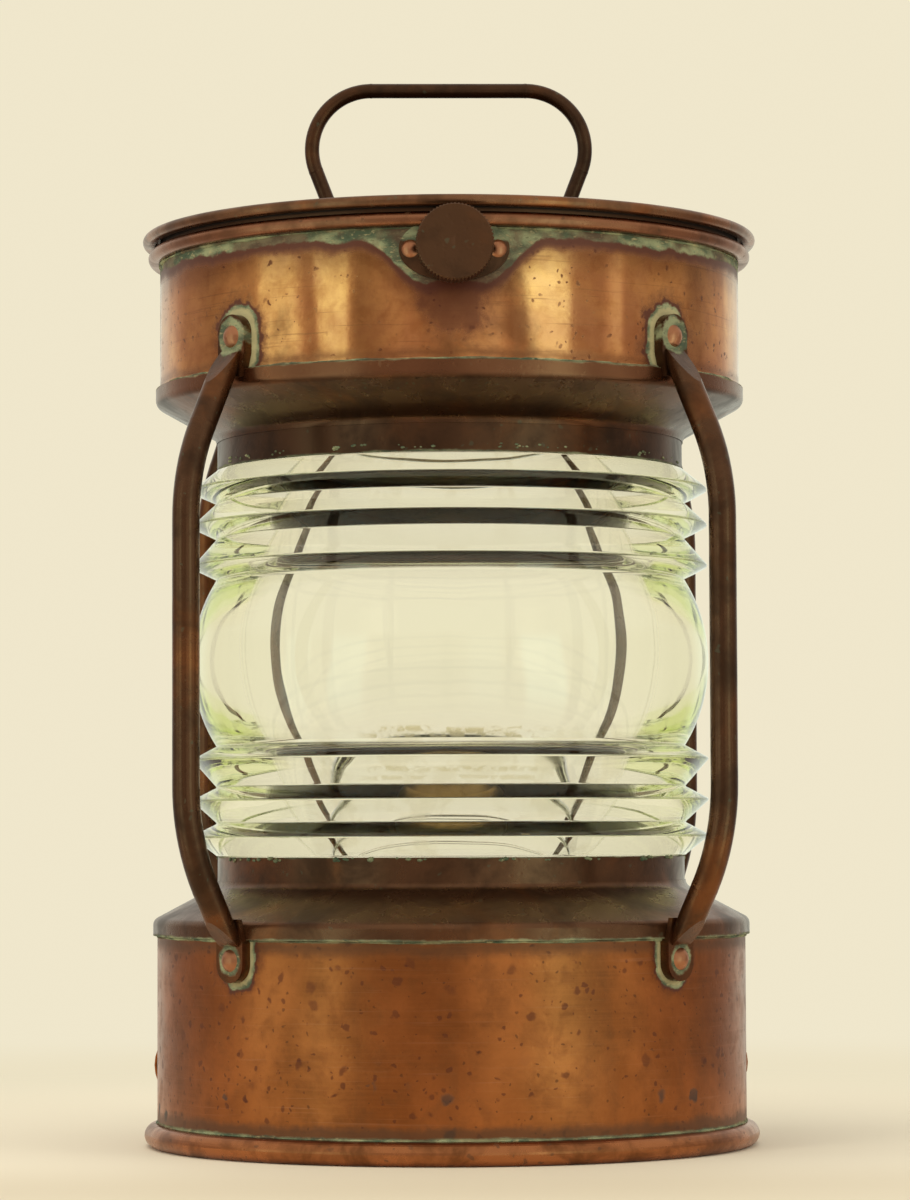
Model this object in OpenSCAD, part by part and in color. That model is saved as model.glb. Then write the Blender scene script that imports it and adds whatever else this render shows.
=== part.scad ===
// Anchor light: a round ribbed lens between two copper drums, guarded by four bent rods.
// Millimetres. Z is up, the floor is at z = 0, and the lock knob is at the front, on -Y.

/* [Base drum] */
// Outer radius of the base drum
base_drum_r = 90; // [86:0.5:96]
// Height of the base drum, floor to seam
base_drum_h = 64; // [56:1:80]
// Thickness of the drums' sheet copper
drum_wall = 1; // [0.8:0.1:1.6]
// How far the foot bead stands out from the drum
foot_proud = 3.9; // [2.8:0.1:6]
// Height of the foot bead
foot_h = 7; // [5:0.5:10]
// Thickness of the floor of the base drum
base_plate_t = 1.2; // [0.8:0.1:2]
// Height of the floor's upturned flange
base_flange_h = 6; // [3:0.5:9]

/* [Air scoops] */
// Height of the middle of the air scoops
scoop_z = 24; // [18:1:34]
// Height of each scoop
scoop_h = 18; // [12:1:24]
// How far the scoops stand out
scoop_proud = 1.6; // [1:0.1:2.4]
// How far behind the side of the lamp the scoops sit, degrees
scoop_turn = 4; // [0:1:20]

/* [Shoulders and collars] */
// Height of each spun shoulder
shoulder_h = 16.5; // [14:0.5:22]
// Thickness of the shoulders' sheet
shoulder_t = 1.3; // [1:0.1:1.8]
// Height of the upright ring at each shoulder's outer edge, more than the lap
shoulder_ring_h = 3.2; // [3.1:0.1:5]
// Radius of the rounded outer corner of the shoulders
shoulder_corner_r = 2.5; // [1:0.25:4]
// Radius of the hollow corner where a shoulder meets its collar
shoulder_neck_r = 2.5; // [1:0.25:4]
// How far each drum reaches up into its shoulder
lap = 2.6; // [1.5:0.1:3]
// Outer radius of the collars that hold the lens
collar_r = 71.6; // [68:0.2:73]
// Thickness of the collars' sheet
collar_t = 1; // [0.8:0.1:1.4]
// Height of the collar under the lens
lower_collar_h = 7.5; // [6.5:0.5:12]
// Height of the collar over the lens
upper_collar_h = 8.5; // [6.5:0.5:12]
// Width of the seat inside each collar
seat_w = 4; // [3:0.5:5]
// Thickness of the seat inside each collar
seat_t = 1.2; // [0.8:0.1:2]

/* [Lens] */
// Height of the visible glass
lens_h = 118; // [110:1:130]
// Radius at the middle of the belly
lens_belly_r = 79.3; // [77:0.1:81]
// Radius at the tips of the ribs
lens_tip_r = 79.1; // [77:0.1:81]
// Radius at the roots of the ribs
lens_root_r = 72; // [71:0.1:74]
// Radius of the smooth inner wall
lens_inner_r = 64.5; // [60:0.5:67]
// Half height of the belly
belly_half = 25.5; // [22:0.5:28]
// Height of the roots of the second ribs from the belly's middle
second_root = 38; // [35:0.5:40]
// Height of the roots of the third ribs from the belly's middle
third_root = 49; // [46:0.5:50]
// Rise of each rib's short face
rib_rise = 3.8; // [3:0.1:4.5]
// Width of the flat at each rib's tip
tip_flat = 0.5; // [0.3:0.1:1]
// Radius of the plain spigot at each end of the glass
spigot_r = 69.8; // [66:0.1:70]
// Length of each spigot
spigot_h = 4.4; // [3:0.2:5]

/* [Upper drum] */
// Outer radius of the upper drum
upper_drum_r = 89.2; // [85:0.2:92]
// Height of the upper drum from seam to rim
upper_drum_h = 42.7; // [36:0.1:56]
// How far the rim band stands out from the drum
rim_proud = 3.6; // [2.6:0.1:4]
// Height of the rim band
rim_h = 4.2; // [3:0.1:6]

/* [Lid] */
// How far the lid's rolled edge stands out past the rim band
lid_overhang = 1.7; // [1:0.1:2.5]
// Height of the lid's rolled edge
lid_edge_h = 3.2; // [2.6:0.1:4]
// Dark gap between the rim band and the lid's edge
lid_gap = 1.4; // [1:0.1:2]
// Thickness of the lid's sheet
lid_t = 1; // [0.8:0.1:1.4]
// Width of the lid's flat rim, from the drum's wall to the raised middle
lid_rim_w = 27.2; // [24:0.2:30]
// Height of the raised middle above the rim of the lid
plateau_h = 3; // [2:0.5:4]
// Depth of the lid's skirt below the lid
skirt_h = 20; // [18:0.5:22]
// Distance of the vent hood's edge from the edge of the raised middle
hood_inset = 32; // [31:0.5:35]
// How far the hood reaches past the vent hole
hood_lap = 10; // [9:0.5:14]
// Height of the top of the hood above the raised middle
hood_h = 6; // [5.5:0.25:7]
// Air gap under the hood
hood_gap = 2.4; // [2:0.1:3]
// How far the plate that keeps wind and rain out reaches past the vent hole
draught_lap = 16; // [12:0.5:18]
// How far that plate hangs below the lid
draught_drop = 15; // [10:1:18]

/* [Guard rods] */
// Diameter of the guard rods
rod_d = 8; // [6:0.5:9]
// How far the rods' axes stand out from the wider drum
rod_stand = 20; // [18:0.5:26]
// Radius of the rods' bends
rod_bend_r = 62; // [40:1:70]
// Lean of the rods' upper ends, degrees
upper_lean = 26.5; // [24:0.5:30]
// Lean of the rods' lower ends, degrees
lower_lean = 29; // [26:0.5:32]
// Where the upper flats start above the seam
upper_flat_gap = 2.5; // [1:0.5:4]
// Where the lower flats start below the seam, negative is above it
lower_flat_gap = -1; // [-2:0.5:2]
// Width of the flattened ends
flat_w = 11; // [9:0.5:13]
// Thickness of the flattened ends
flat_t = 3; // [2:0.25:4]
// Length of the flattened ends to their round tips
flat_l = 13.5; // [12:0.5:18]
// Distance of the rivets from the flats' round tips
rivet_inset = 6.5; // [5.5:0.25:7]
// Radius of the rods' rivet heads
rivet_head_r = 3.25; // [2.5:0.25:4]

/* [Lock] */
// Height of the lock screw above the upper seam
lock_h = 32; // [30:0.5:32.5]
// Radius of the knurled knob
knob_r = 11.2; // [9:0.2:11.4]
// Thickness of the knob
knob_t = 8.5; // [5:0.5:10]
// Number of teeth round the knob
knob_teeth = 64; // [40:4:80]
// Depth of the teeth
knob_tooth = 0.45; // [0.3:0.05:0.6]
// Diameter of the lock screw
screw_d = 8; // [6:0.5:8]
// Pitch of the screw's thread
screw_pitch = 1.25; // [1:0.25:1.5]
// Turns of the screw from rest to locked
lock_turns = 2.4; // [2:0.1:2.7]
// How far the lock bush stands out from the drum
bush_proud = 3.1; // [2.4:0.1:4]
// Width of the oval lock plate
plate_w = 32; // [30:1:36]
// Height of the oval lock plate
plate_h = 19; // [17:0.5:20]
// Thickness of the lock plate
plate_t = 1.2; // [0.8:0.1:1.6]
// Distance between the lock plate's rivets
plate_rivets = 25; // [24:0.5:27]
// Radius of the small rivets' heads
small_head_r = 2.6; // [2:0.1:3]

/* [Hinge] */
// Width of the hinge
hinge_w = 26; // [22:1:34]
// Outer radius of the hinge's barrel
barrel_r = 3; // [2.6:0.1:3.6]
// Radius of the hinge pin
pin_r = 1.5; // [1.2:0.1:1.7]
// Thickness of the lid's hinge leaf
leaf_t = 1.5; // [1.2:0.1:2]
// Height of the hinge leaf on the drum
leaf_h = 30; // [24:1:34]

/* [Handle] */
// Diameter of the handle's wire
wire_d = 4.5; // [3.5:0.25:5]
// Height of the handle's bar above its pivots
handle_h = 39.5; // [38:0.5:48]
// Distance of the bar's ends from the edge of the lid's raised middle
handle_inset = 38.1; // [36:0.1:40]
// Radius of the handle's upper bends
handle_bend_r = 18.4; // [17:0.1:22]
// Inward lean of the handle's legs, degrees
handle_lean = 21; // [16:0.5:23]
// Radius of the bends at the handle's feet
foot_bend_r = 4; // [3.5:0.25:4.5]
// Thickness of the ears that carry the handle
ear_t = 2.5; // [2:0.25:3]
// Width of the ears
ear_w = 11; // [9:0.5:13]

/* [Oil lamp] */
// Radius of the oil font
font_r = 48; // [40:0.5:52]
// Height of the oil font
font_h = 37; // [30:0.5:40]
// Thickness of the font's brass
font_t = 1; // [0.8:0.1:1.5]
// Outer radius of the font's neck
font_neck_r = 16; // [14:0.5:18]
// Height of the top of the burner cone above the floor
cone_top = 83; // [78:0.5:84]
// Width of the wick
wick_w = 17; // [12:0.5:17]
// Thickness of the wick
wick_t = 3; // [2:0.25:3]
// Radius of the toothed wheels that raise the wick
wick_wheel_r = 4; // [3:0.25:5]
// Radius of the thumb wheel
thumb_r = 6.5; // [5:0.25:7]

/* [Hidden] */
$fn = 96;

// Running clearance of a pin or screw in its hole, on the radius
run = 0.05;
// Clearance between pieces of one body that only lie near each other
seat_gap = 0.1;
// Clearance between bodies that move past each other
move_gap = 0.3;
// Extra length that carries a cut past a surface
cut = 1;
// Facets of a drum's wall where a small piece is shaped to it
wall_fn = 720;

// Heights of the stack, from the floor up
base_seam = base_drum_h;
base_neck = base_seam + shoulder_h;
glass_bottom = base_neck + lower_collar_h;
glass_top = glass_bottom + lens_h;
glass_middle = (glass_bottom + glass_top) / 2;
upper_neck = glass_top + upper_collar_h;
upper_seam = upper_neck + shoulder_h;
rim_top = upper_seam + upper_drum_h;
lid_edge_bottom = rim_top + lid_gap;
lid_top = lid_edge_bottom + lid_edge_h;
lid_under = lid_top - lid_t;
plateau_top = lid_top + plateau_h;
plateau_under = plateau_top - lid_t;
drum_top = lid_under - move_gap;

// Radii that follow from the drums
rim_r = upper_drum_r + rim_proud;
lid_r = rim_r + lid_overhang;
lid_plate_r = upper_drum_r + 1.8;
plateau_r = upper_drum_r - lid_rim_w;
rod_reach = max(base_drum_r, upper_drum_r) + rod_stand;
drum_inside = upper_drum_r - drum_wall;
skirt_t = 1;
skirt_r = drum_inside - 4 * move_gap;
skirt_bottom = lid_under - skirt_h;

// The lock, on a level axis at the front
lock_z = upper_seam + lock_h;
screw_r = screw_d / 2;
knob_pin_r = screw_r - 1.5;
bush_r = screw_r + 2.5;
bush_face = upper_drum_r + bush_proud;
washer_t = 1;
washer_r = bush_r - 0.1;
lock_travel = screw_pitch * lock_turns;
knob_back = bush_face + lock_travel + washer_t + 0.2;
screw_tip = drum_inside - 0.2;
lock_hole_r = screw_r + 0.6;
shank_r = 1.6;
small_shank_r = 1.2;
// A flat rivet tail stands off a round wall by this much, so that its rim clears the wall
tail_gap = 0.05;

// The hinge, on a level axis at the back
hinge_y = lid_r + barrel_r + 0.4;
hinge_z = lid_edge_bottom + lid_edge_h / 2;
knuckle_half = hinge_w / 4 - 0.5;
knuckle_gap = 0.2;
body_leaf_face = upper_drum_r + 2;
body_leaf_seat = upper_drum_r + 1.9;
leaf_lap = 6;
lid_leaf_start = plateau_r + 2 * plateau_h + seat_gap;
lid_leaf_rivet_y = lid_leaf_start + 7;

// The handle's pivots and the ears on the lid
wire_r = wire_d / 2;
pin_head = 0.35;
ear_foot_t = 1.1;
ear_foot_l = 11;
pivot_h = wire_r + pin_head + ear_foot_t + move_gap;
bar_half = plateau_r - handle_inset;
pivot_z = plateau_top + pivot_h;
bar_z = pivot_z + handle_h;
turn = 90 + handle_lean;
leg_top = [bar_half + handle_bend_r * sin(turn), bar_z - handle_bend_r * (1 - cos(turn))];
leg_foot_z = pivot_z + foot_bend_r * (1 + sin(handle_lean));
leg_foot = [leg_top.x - (leg_top.y - leg_foot_z) * tan(handle_lean), leg_foot_z];
foot_bend_x = leg_foot.x + foot_bend_r * cos(handle_lean);
ear_x = foot_bend_x + 0.5;
ear_top_r = pivot_h;
pin_end = ear_x + ear_t + move_gap;
joint_gap = 0.15;

// The hood and the draught plate under the lid
hood_r = plateau_r - hood_inset;
vent_r = hood_r - hood_lap;
draught_r = vent_r + draught_lap;
draught_lip = 4;
draught_round = 2;
hood_top = plateau_top + hood_h;
hood_t = 0.8;
post_r = 1.5;
post_ring = hood_r - 4;
stud_ring = (vent_r + draught_r) / 2;
draught_z = plateau_under - draught_drop;
draught_t = 1;

// The oil lamp
font_top = base_plate_t + font_h;
font_side = font_h - 8;
neck_h = 5;
neck_top = font_top + neck_h;
wheel_z = neck_top + 9;
wheel_y = -(wick_t / 2 + wick_wheel_r + 0.1);
tube_t = 1.2;
tube_w = wick_w + 2 * (seat_gap + tube_t);
tube_d = wick_t + 2 * (seat_gap + tube_t);
tube_top = cone_top - 5;
lug_t = 2;
spindle_r = 1.2;
thumb_x = font_neck_r + 8;
clip_w = 12;
clip_t = 0.8;
clip_h = 13;
clip_lip = 5;
clip_flare = 3.2;

// The points of an arc in the plane of a profile
function arc(centre, r, from, to, n = 8) =
    [for (i = [0:n]) centre + r * [cos(from + (to - from) * i / n), sin(from + (to - from) * i / n)]];

function unit(v) = v / norm(v);
function side_of(a, b) = let (d = unit(b - a)) [-d.y, d.x];

// The offset that keeps a sheet's thickness even at point i of its path
function mitre(p, i) =
    i == 0 ? side_of(p[0], p[1]) :
    i == len(p) - 1 ? side_of(p[i - 1], p[i]) :
    let (a = side_of(p[i - 1], p[i]), b = side_of(p[i], p[i + 1])) (a + b) / (1 + a * b);

// The outline of a sheet of thickness t that lies to the left of its path
function sheet(p, t) = concat(p, [for (i = [len(p) - 1:-1:0]) p[i] + t * mitre(p, i)]);

// A path turned over top to bottom about z = 0
function flip(p) = [for (q = p) [q.x, -q.y]];

// A tube between two heights
module tube(r, t, z0, z1) {
    translate([0, 0, z0])
        difference() {
            cylinder(r = r, h = z1 - z0);
            translate([0, 0, -cut]) cylinder(r = r - t, h = z1 - z0 + 2 * cut);
        }
}

// A ring with a half-round outside, as of rolled sheet
module bead(inner_r, outer_r, z0, h) {
    round_r = min(h / 2, outer_r - inner_r);
    rotate_extrude()
        polygon(concat(
            [[inner_r, z0]],
            arc([outer_r - round_r, z0 + round_r], round_r, -90, 0),
            arc([outer_r - round_r, z0 + h - round_r], round_r, 0, 90),
            [[inner_r, z0 + h]]));
}

// Places children on a wall, with their Z pointing outwards
module on_wall(angle, z) {
    rotate([0, 0, angle]) translate([0, 0, z]) rotate([0, 90, 0]) children();
}

// A rivet whose head stands on a surface at distance r. Its tail inside the wall is flat, or
// the shank ends level with the wall where tail is 0
module rivet(r, grip, shank, head, tail = 0.8) {
    dome_h = head * 0.5;
    dome_r = (head * head + dome_h * dome_h) / (2 * dome_h);
    intersection() {
        translate([0, 0, r + dome_h - dome_r]) sphere(r = dome_r);
        translate([0, 0, r]) cylinder(r = head, h = dome_h);
    }
    translate([0, 0, r - grip - tail_gap]) cylinder(r = shank, h = grip + tail_gap);
    if (tail > 0) translate([0, 0, r - grip - tail_gap - tail]) cylinder(r = shank + 1, h = tail);
}

// Turns children on end, so that their Z points down
module hanging(z) {
    translate([0, 0, z]) mirror([0, 0, 1]) children();
}

// Base

module base_plate() {
    inside = base_drum_r - drum_wall;
    color("peru")
        rotate_extrude()
            polygon(sheet([[0, 0], [inside, 0], [inside, base_flange_h]], base_plate_t));
}

module foot_ring() {
    color("peru") bead(base_drum_r, base_drum_r + foot_proud, 0, foot_h);
}

// The slots that the air scoops cover, and the holes for the rods' rivets
module base_drum() {
    color("peru")
        difference() {
            tube(base_drum_r, drum_wall, 0, base_seam + lap);
            scoop_places() scoop_solid(base_drum_r, scoop_h / 2 - 2, scoop_proud);
            rod_places() on_wall(0, lower_rivet_z) rivet_hole(base_drum_r, shank_r);
        }
}

module rivet_hole(r, shank) {
    translate([0, 0, r - drum_wall - cut]) cylinder(r = shank + run, h = drum_wall + 2 * cut);
}

module scoop_places() {
    for (s = [1, -1])
        rotate([0, 0, s > 0 ? scoop_turn : 180 - scoop_turn]) mirror([0, s > 0 ? 0 : 1, 0]) children();
}

// A pointed bulge of a wall of radius r, turned about an upright chord inside the wall
module scoop_solid(r, half, proud) {
    chord = 4;
    arc_r = (half * half + chord * chord) / (2 * chord);
    lean = asin(half / arc_r);
    translate([r + proud - chord, 0, scoop_z])
        rotate_extrude()
            polygon(arc([chord - arc_r, 0], arc_r, -lean, lean, 8));
}

// Each scoop is half of a hollow bulge, open towards the front
module air_scoops() {
    color("peru")
        scoop_places()
            difference() {
                scoop_solid(base_drum_r, scoop_h / 2, scoop_proud, $fn = 128);
                scoop_solid(base_drum_r, scoop_h / 2 - 1, scoop_proud - 0.6, $fn = 128);
                cylinder(r = base_drum_r, h = base_drum_h, $fn = wall_fn);
                translate([0, -base_drum_r, 0]) cube([2 * base_drum_r, base_drum_r, base_drum_h]);
            }
}

// The outer path of a shoulder, from its seam at z = 0 up to its neck. The cone touches both
// the rounded corner and the hollow one
function shoulder_path(ring_r) =
    let (
        corner = [ring_r - shoulder_corner_r, shoulder_ring_h],
        hollow = [collar_r + 0.3 + shoulder_neck_r, shoulder_h],
        span = hollow - corner,
        slope = acos((shoulder_corner_r + shoulder_neck_r) / norm(span)) - atan2(-span.x, span.y)
    )
    concat(
        [[ring_r, 0]],
        arc(corner, shoulder_corner_r, 0, 90 - slope, 6),
        arc(hollow, shoulder_neck_r, 270 - slope, 180, 6));

module shoulder(drum_r) {
    rotate_extrude() polygon(sheet(shoulder_path(drum_r + shoulder_t), shoulder_t));
}

module base_shoulder() {
    color("sienna") translate([0, 0, base_seam]) shoulder(base_drum_r);
}

module upper_shoulder() {
    color("sienna") hanging(upper_seam) shoulder(upper_drum_r);
}

// A collar with its seat at z = 0 and its open end towards the lens
module collar(h) {
    tube(collar_r, collar_t, 0, h - seat_gap * 2);
    tube(collar_r - collar_t, seat_w, 0, seat_t);
}

module lower_collar() {
    color("sienna") translate([0, 0, base_neck]) collar(lower_collar_h);
}

module upper_collar() {
    color("sienna") hanging(upper_neck) collar(upper_collar_h);
}

// The packing fills the height between the collar's seat and the glass
module packing(collar_h) {
    tube(spigot_r, spigot_r - lens_inner_r - 2, seat_t, collar_h - spigot_h);
}

module lower_packing() {
    color("tan") translate([0, 0, base_neck]) packing(lower_collar_h);
}

module upper_packing() {
    color("tan") hanging(upper_neck) packing(upper_collar_h);
}

// Lens

// One half of the lens's outside, from the end of the belly's edge to the spigot.
// Each rib has a short face towards the belly, a narrow flat at its tip and a long face away from it.
function rib(root, next) =
    [[lens_root_r, root], [lens_tip_r, root + rib_rise], [lens_tip_r, root + rib_rise + tip_flat],
     [lens_root_r + 0.2, next - 0.3]];

function half_lens() =
    concat(
        rib(belly_half, second_root),
        rib(second_root, third_root),
        rib(third_root, lens_h / 2),
        [[lens_root_r, lens_h / 2], [spigot_r, lens_h / 2], [spigot_r, lens_h / 2 + spigot_h]]);

function reversed(p) = [for (i = [len(p) - 1:-1:0]) p[i]];

module lens() {
    bulge = lens_belly_r - lens_root_r;
    belly_arc_r = (belly_half * belly_half + bulge * bulge) / (2 * bulge);
    lean = asin(belly_half / belly_arc_r);
    belly = arc([lens_belly_r - belly_arc_r, 0], belly_arc_r, -lean, lean, 24);
    inside_end = lens_h / 2 + spigot_h;
    color("honeydew", 0.5)
        translate([0, 0, glass_middle])
            rotate_extrude($fn = 128)
                polygon(concat(
                    reversed(flip(half_lens())),
                    [for (i = [1:len(belly) - 2]) belly[i]],
                    half_lens(),
                    [[lens_inner_r, inside_end], [lens_inner_r, -inside_end]]));
}

// Upper drum

module upper_drum() {
    color("peru")
        difference() {
            tube(upper_drum_r, drum_wall, upper_seam - lap, drum_top);
            on_wall(-90, lock_z) cylinder(r = bush_r + run, h = upper_drum_r + cut);
            rod_places() on_wall(0, upper_rivet_z) rivet_hole(upper_drum_r, shank_r);
            plate_rivet_places() rivet_hole(upper_drum_r, small_shank_r);
            body_leaf_rivet_places() rivet_hole(upper_drum_r, shank_r);
        }
}

module body_rim() {
    color("peru") bead(upper_drum_r, rim_r, rim_top - rim_h, rim_h);
}

// Guard rods

rod_r = rod_d / 2;
upper_rivet_z = upper_seam + upper_flat_gap + flat_l - rivet_inset;
lower_rivet_z = base_seam - lower_flat_gap - flat_l + rivet_inset;

module rod_places() {
    for (angle = [45:90:315]) rotate([0, 0, angle]) children();
}

// Height between the start of a rod's bend and the start of its flat
function bend_rise(lean, drum_r) =
    rod_bend_r * sin(lean)
    + (rod_reach - rod_bend_r * (1 - cos(lean)) - rod_r / cos(lean) - drum_r) / tan(lean);

// One end of a rod: the bend starts at z0 and the flat lies on a drum of radius drum_r.
// The flat starts flat_gap past the seam, where the shoulder's ring ends.
module rod_end(z0, lean, drum_r, flat_gap) {
    bend_end = [rod_reach - rod_bend_r * (1 - cos(lean)), z0 + rod_bend_r * sin(lean)];
    flat_start = z0 + bend_rise(lean, drum_r);
    face = drum_r + flat_t;
    tip_z = flat_start + flat_l - flat_w / 2;
    // The outer side starts to thin here, and is down to the flat's face at thin_end
    thin_start = bend_end + (flat_start - bend_end.y) * 0.55 / cos(lean) * [-sin(lean), cos(lean)]
        + rod_r * [cos(lean), sin(lean)];
    thin_end = [face, flat_start + 3];
    far = thin_start + 3 * (thin_start - thin_end);
    translate([rod_reach - rod_bend_r, 0, z0])
        rotate([90, 0, 0])
            rotate_extrude(angle = lean, $fn = 192) translate([rod_bend_r, 0]) circle(r = rod_r, $fn = 64);
    translate([bend_end.x, 0, bend_end.y]) sphere(r = rod_r + 0.06, $fn = 64);
    difference() {
        union() {
            intersection() {
                translate([bend_end.x, 0, bend_end.y]) rotate([0, -lean, 0]) translate([0, 0, joint_gap])
                    cylinder(r = rod_r, h = (tip_z - bend_end.y) / cos(lean), $fn = 64);
                rotate([90, 0, 0]) translate([0, 0, -flat_w])
                    linear_extrude(height = 2 * flat_w)
                        polygon([[0, bend_end.y - rod_d], [far.x, bend_end.y - rod_d], far, thin_start,
                            thin_end, [face, tip_z], [0, tip_z]]);
            }
            translate([drum_r - cut, 0, 0]) rotate([90, 0, 90])
                linear_extrude(height = flat_t + cut) {
                    polygon([[-rod_r + 0.4, flat_start - 5], [rod_r - 0.4, flat_start - 5],
                        [flat_w / 2, flat_start + 2], [flat_w / 2, tip_z], [-flat_w / 2, tip_z],
                        [-flat_w / 2, flat_start + 2]]);
                    translate([0, tip_z]) circle(r = flat_w / 2);
                }
        }
        lamp_wall(drum_r, flat_start - flat_gap);
        translate([drum_r - cut, 0, flat_start + flat_l - rivet_inset]) rotate([0, 90, 0])
            cylinder(r = shank_r + run, h = flat_t + 2 * cut);
    }
}

// The wall that a flat lies on: a drum above the seam and the shoulder's ring below it
module lamp_wall(drum_r, seam) {
    ring_r = drum_r + shoulder_t + seat_gap;
    below = seam - shoulder_h;
    above = seam + 2 * shoulder_h;
    translate([0, 0, below])
        rotate_extrude($fn = wall_fn)
            polygon([[0, 0], [ring_r, 0], [ring_r, seam - below], [drum_r, seam - below],
                [drum_r, above - below], [0, above - below]]);
}

module rod(angle) {
    upper_z0 = upper_seam + upper_flat_gap - bend_rise(upper_lean, upper_drum_r);
    lower_z0 = base_seam - lower_flat_gap + bend_rise(lower_lean, base_drum_r);
    color("saddlebrown")
        rotate([0, 0, angle]) {
            translate([rod_reach, 0, lower_z0]) cylinder(r = rod_r, h = upper_z0 - lower_z0, $fn = 64);
            rod_end(upper_z0, upper_lean, upper_drum_r, upper_flat_gap);
            hanging(0) rod_end(-lower_z0, lower_lean, base_drum_r, lower_flat_gap);
        }
}

module rod_rivets() {
    color("chocolate")
        rod_places() {
            on_wall(0, upper_rivet_z)
                rivet(upper_drum_r + flat_t, flat_t + drum_wall, shank_r, rivet_head_r);
            on_wall(0, lower_rivet_z)
                rivet(base_drum_r + flat_t, flat_t + drum_wall, shank_r, rivet_head_r);
        }
}

// Lock

module plate_rivet_places() {
    turn_by = asin(plate_rivets / 2 / upper_drum_r);
    for (s = [-1, 1]) on_wall(-90 + s * turn_by, lock_z) children();
}

// The oval plate is bent to the drum, and its top tucks in under the rim band
module lock_plate() {
    outline = [for (a = [0:5:355]) [plate_w / 2 * cos(a), plate_h / 2 * sin(a)]];
    color("sienna")
        difference() {
            intersection() {
                tube(upper_drum_r + plate_t, plate_t, lock_z - plate_h, rim_top - rim_h - seat_gap);
                translate([0, 0, lock_z]) rotate([90, 0, 0])
                    linear_extrude(height = upper_drum_r + 2 * plate_t) polygon(outline);
            }
            on_wall(-90, lock_z) cylinder(r = bush_r + run, h = upper_drum_r + 2 * plate_t + cut);
            plate_rivet_places() translate([0, 0, upper_drum_r - cut])
                cylinder(r = small_shank_r + run, h = plate_t + 2 * cut);
        }
}

module lock_plate_rivets() {
    color("chocolate")
        plate_rivet_places()
            rivet(upper_drum_r + plate_t, plate_t + drum_wall, small_shank_r, small_head_r, 0);
}

module lock_bush() {
    inner = drum_inside + 0.1;
    color("saddlebrown")
        on_wall(-90, lock_z)
            translate([0, 0, inner])
                difference() {
                    cylinder(r = bush_r, h = bush_face - inner);
                    translate([0, 0, -cut]) cylinder(r = screw_r + run, h = bush_face - inner + 2 * cut);
                }
}

module lock_washer() {
    color("peru")
        on_wall(-90, lock_z)
            translate([0, 0, knob_back - washer_t - run])
                difference() {
                    cylinder(r = washer_r, h = washer_t);
                    translate([0, 0, -cut]) cylinder(r = screw_r + run, h = washer_t + 2 * cut);
                }
}

module lock_screw() {
    color("saddlebrown")
        on_wall(-90, lock_z) {
            translate([0, 0, screw_tip]) cylinder(r1 = screw_r - 1, r2 = screw_r, h = 1);
            translate([0, 0, screw_tip + 1]) cylinder(r = screw_r, h = knob_back - screw_tip - 1);
            translate([0, 0, knob_back]) cylinder(r = knob_pin_r, h = knob_t / 2);
        }
}

// The knob is bored for the screw's spigot, and its rim is knurled between two plain chamfers
module knob_teeth_outline() {
    polygon([for (i = [0:knob_teeth * 2 - 1])
        (knob_r - (i % 2) * knob_tooth) * [cos(i * 180 / knob_teeth), sin(i * 180 / knob_teeth)]]);
}

module lock_knob() {
    color("saddlebrown")
        on_wall(-90, lock_z)
            translate([0, 0, knob_back])
                difference() {
                    intersection() {
                        linear_extrude(height = knob_t) knob_teeth_outline();
                        rotate_extrude()
                            polygon([[0, 0], [knob_r - 0.8, 0], [knob_r + 0.2, 1],
                                [knob_r + 0.2, knob_t - 0.8], [knob_r - 0.6, knob_t],
                                [knob_r - 2, knob_t], [0, knob_t - 0.2]]);
                    }
                    translate([0, 0, -cut]) cylinder(r = knob_pin_r, h = knob_t / 2 + cut);
                }
}

// Hinge

module body_leaf_rivet_places() {
    for (s = [-1, 1])
        on_wall(90 + s * asin(hinge_w / 4 / upper_drum_r), rim_top - rim_h - leaf_h / 2) children();
}

// A cylinder along X at the hinge's axis
module barrel(r, x0, x1) {
    translate([x0, hinge_y, hinge_z]) rotate([0, 90, 0]) cylinder(r = r, h = x1 - x0);
}

// The drum's leaf lies on the drum, steps out over the rim band and ends in two knuckles.
// Its rivets sit in shallow spot faces
module hinge_body_leaf() {
    under_rim = rim_top - rim_h - seat_gap;
    bottom = under_rim - leaf_h + leaf_lap;
    clear_y = rim_r + seat_gap;
    step_z = hinge_z - barrel_r - 2 * move_gap;
    color("sienna")
        difference() {
            union() {
                translate([-hinge_w / 2, 0, 0]) rotate([90, 0, 90])
                    linear_extrude(height = hinge_w)
                        polygon([[upper_drum_r - 3, bottom], [body_leaf_face, bottom],
                            [body_leaf_face, under_rim - 4],
                            [hinge_y + barrel_r * 0.9, hinge_z - barrel_r - 2],
                            [hinge_y + barrel_r * 0.9, hinge_z], [hinge_y - barrel_r * 0.9, hinge_z],
                            [hinge_y - barrel_r * 0.9, rim_top + 0.4], [clear_y, rim_top - 0.5],
                            [clear_y, under_rim], [upper_drum_r - 3, under_rim]]);
                barrel(barrel_r, -hinge_w / 2, hinge_w / 2);
            }
            translate([-knuckle_half - knuckle_gap, upper_drum_r, step_z])
                cube([2 * (knuckle_half + knuckle_gap), 4 * barrel_r + rim_proud, 4 * barrel_r]);
            translate([0, 0, bottom - cut])
                cylinder(r = upper_drum_r, h = leaf_h + 2 * barrel_r, $fn = wall_fn);
            barrel(pin_r + run, -hinge_w, hinge_w);
            body_leaf_rivet_places() {
                translate([0, 0, upper_drum_r - cut]) cylinder(r = shank_r + run, h = leaf_lap);
                translate([0, 0, body_leaf_seat]) cylinder(r = small_head_r + run, h = leaf_lap);
            }
        }
}

module hinge_body_rivets() {
    color("chocolate")
        body_leaf_rivet_places() rivet(body_leaf_seat, body_leaf_seat - drum_inside, shank_r, small_head_r);
}

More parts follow.
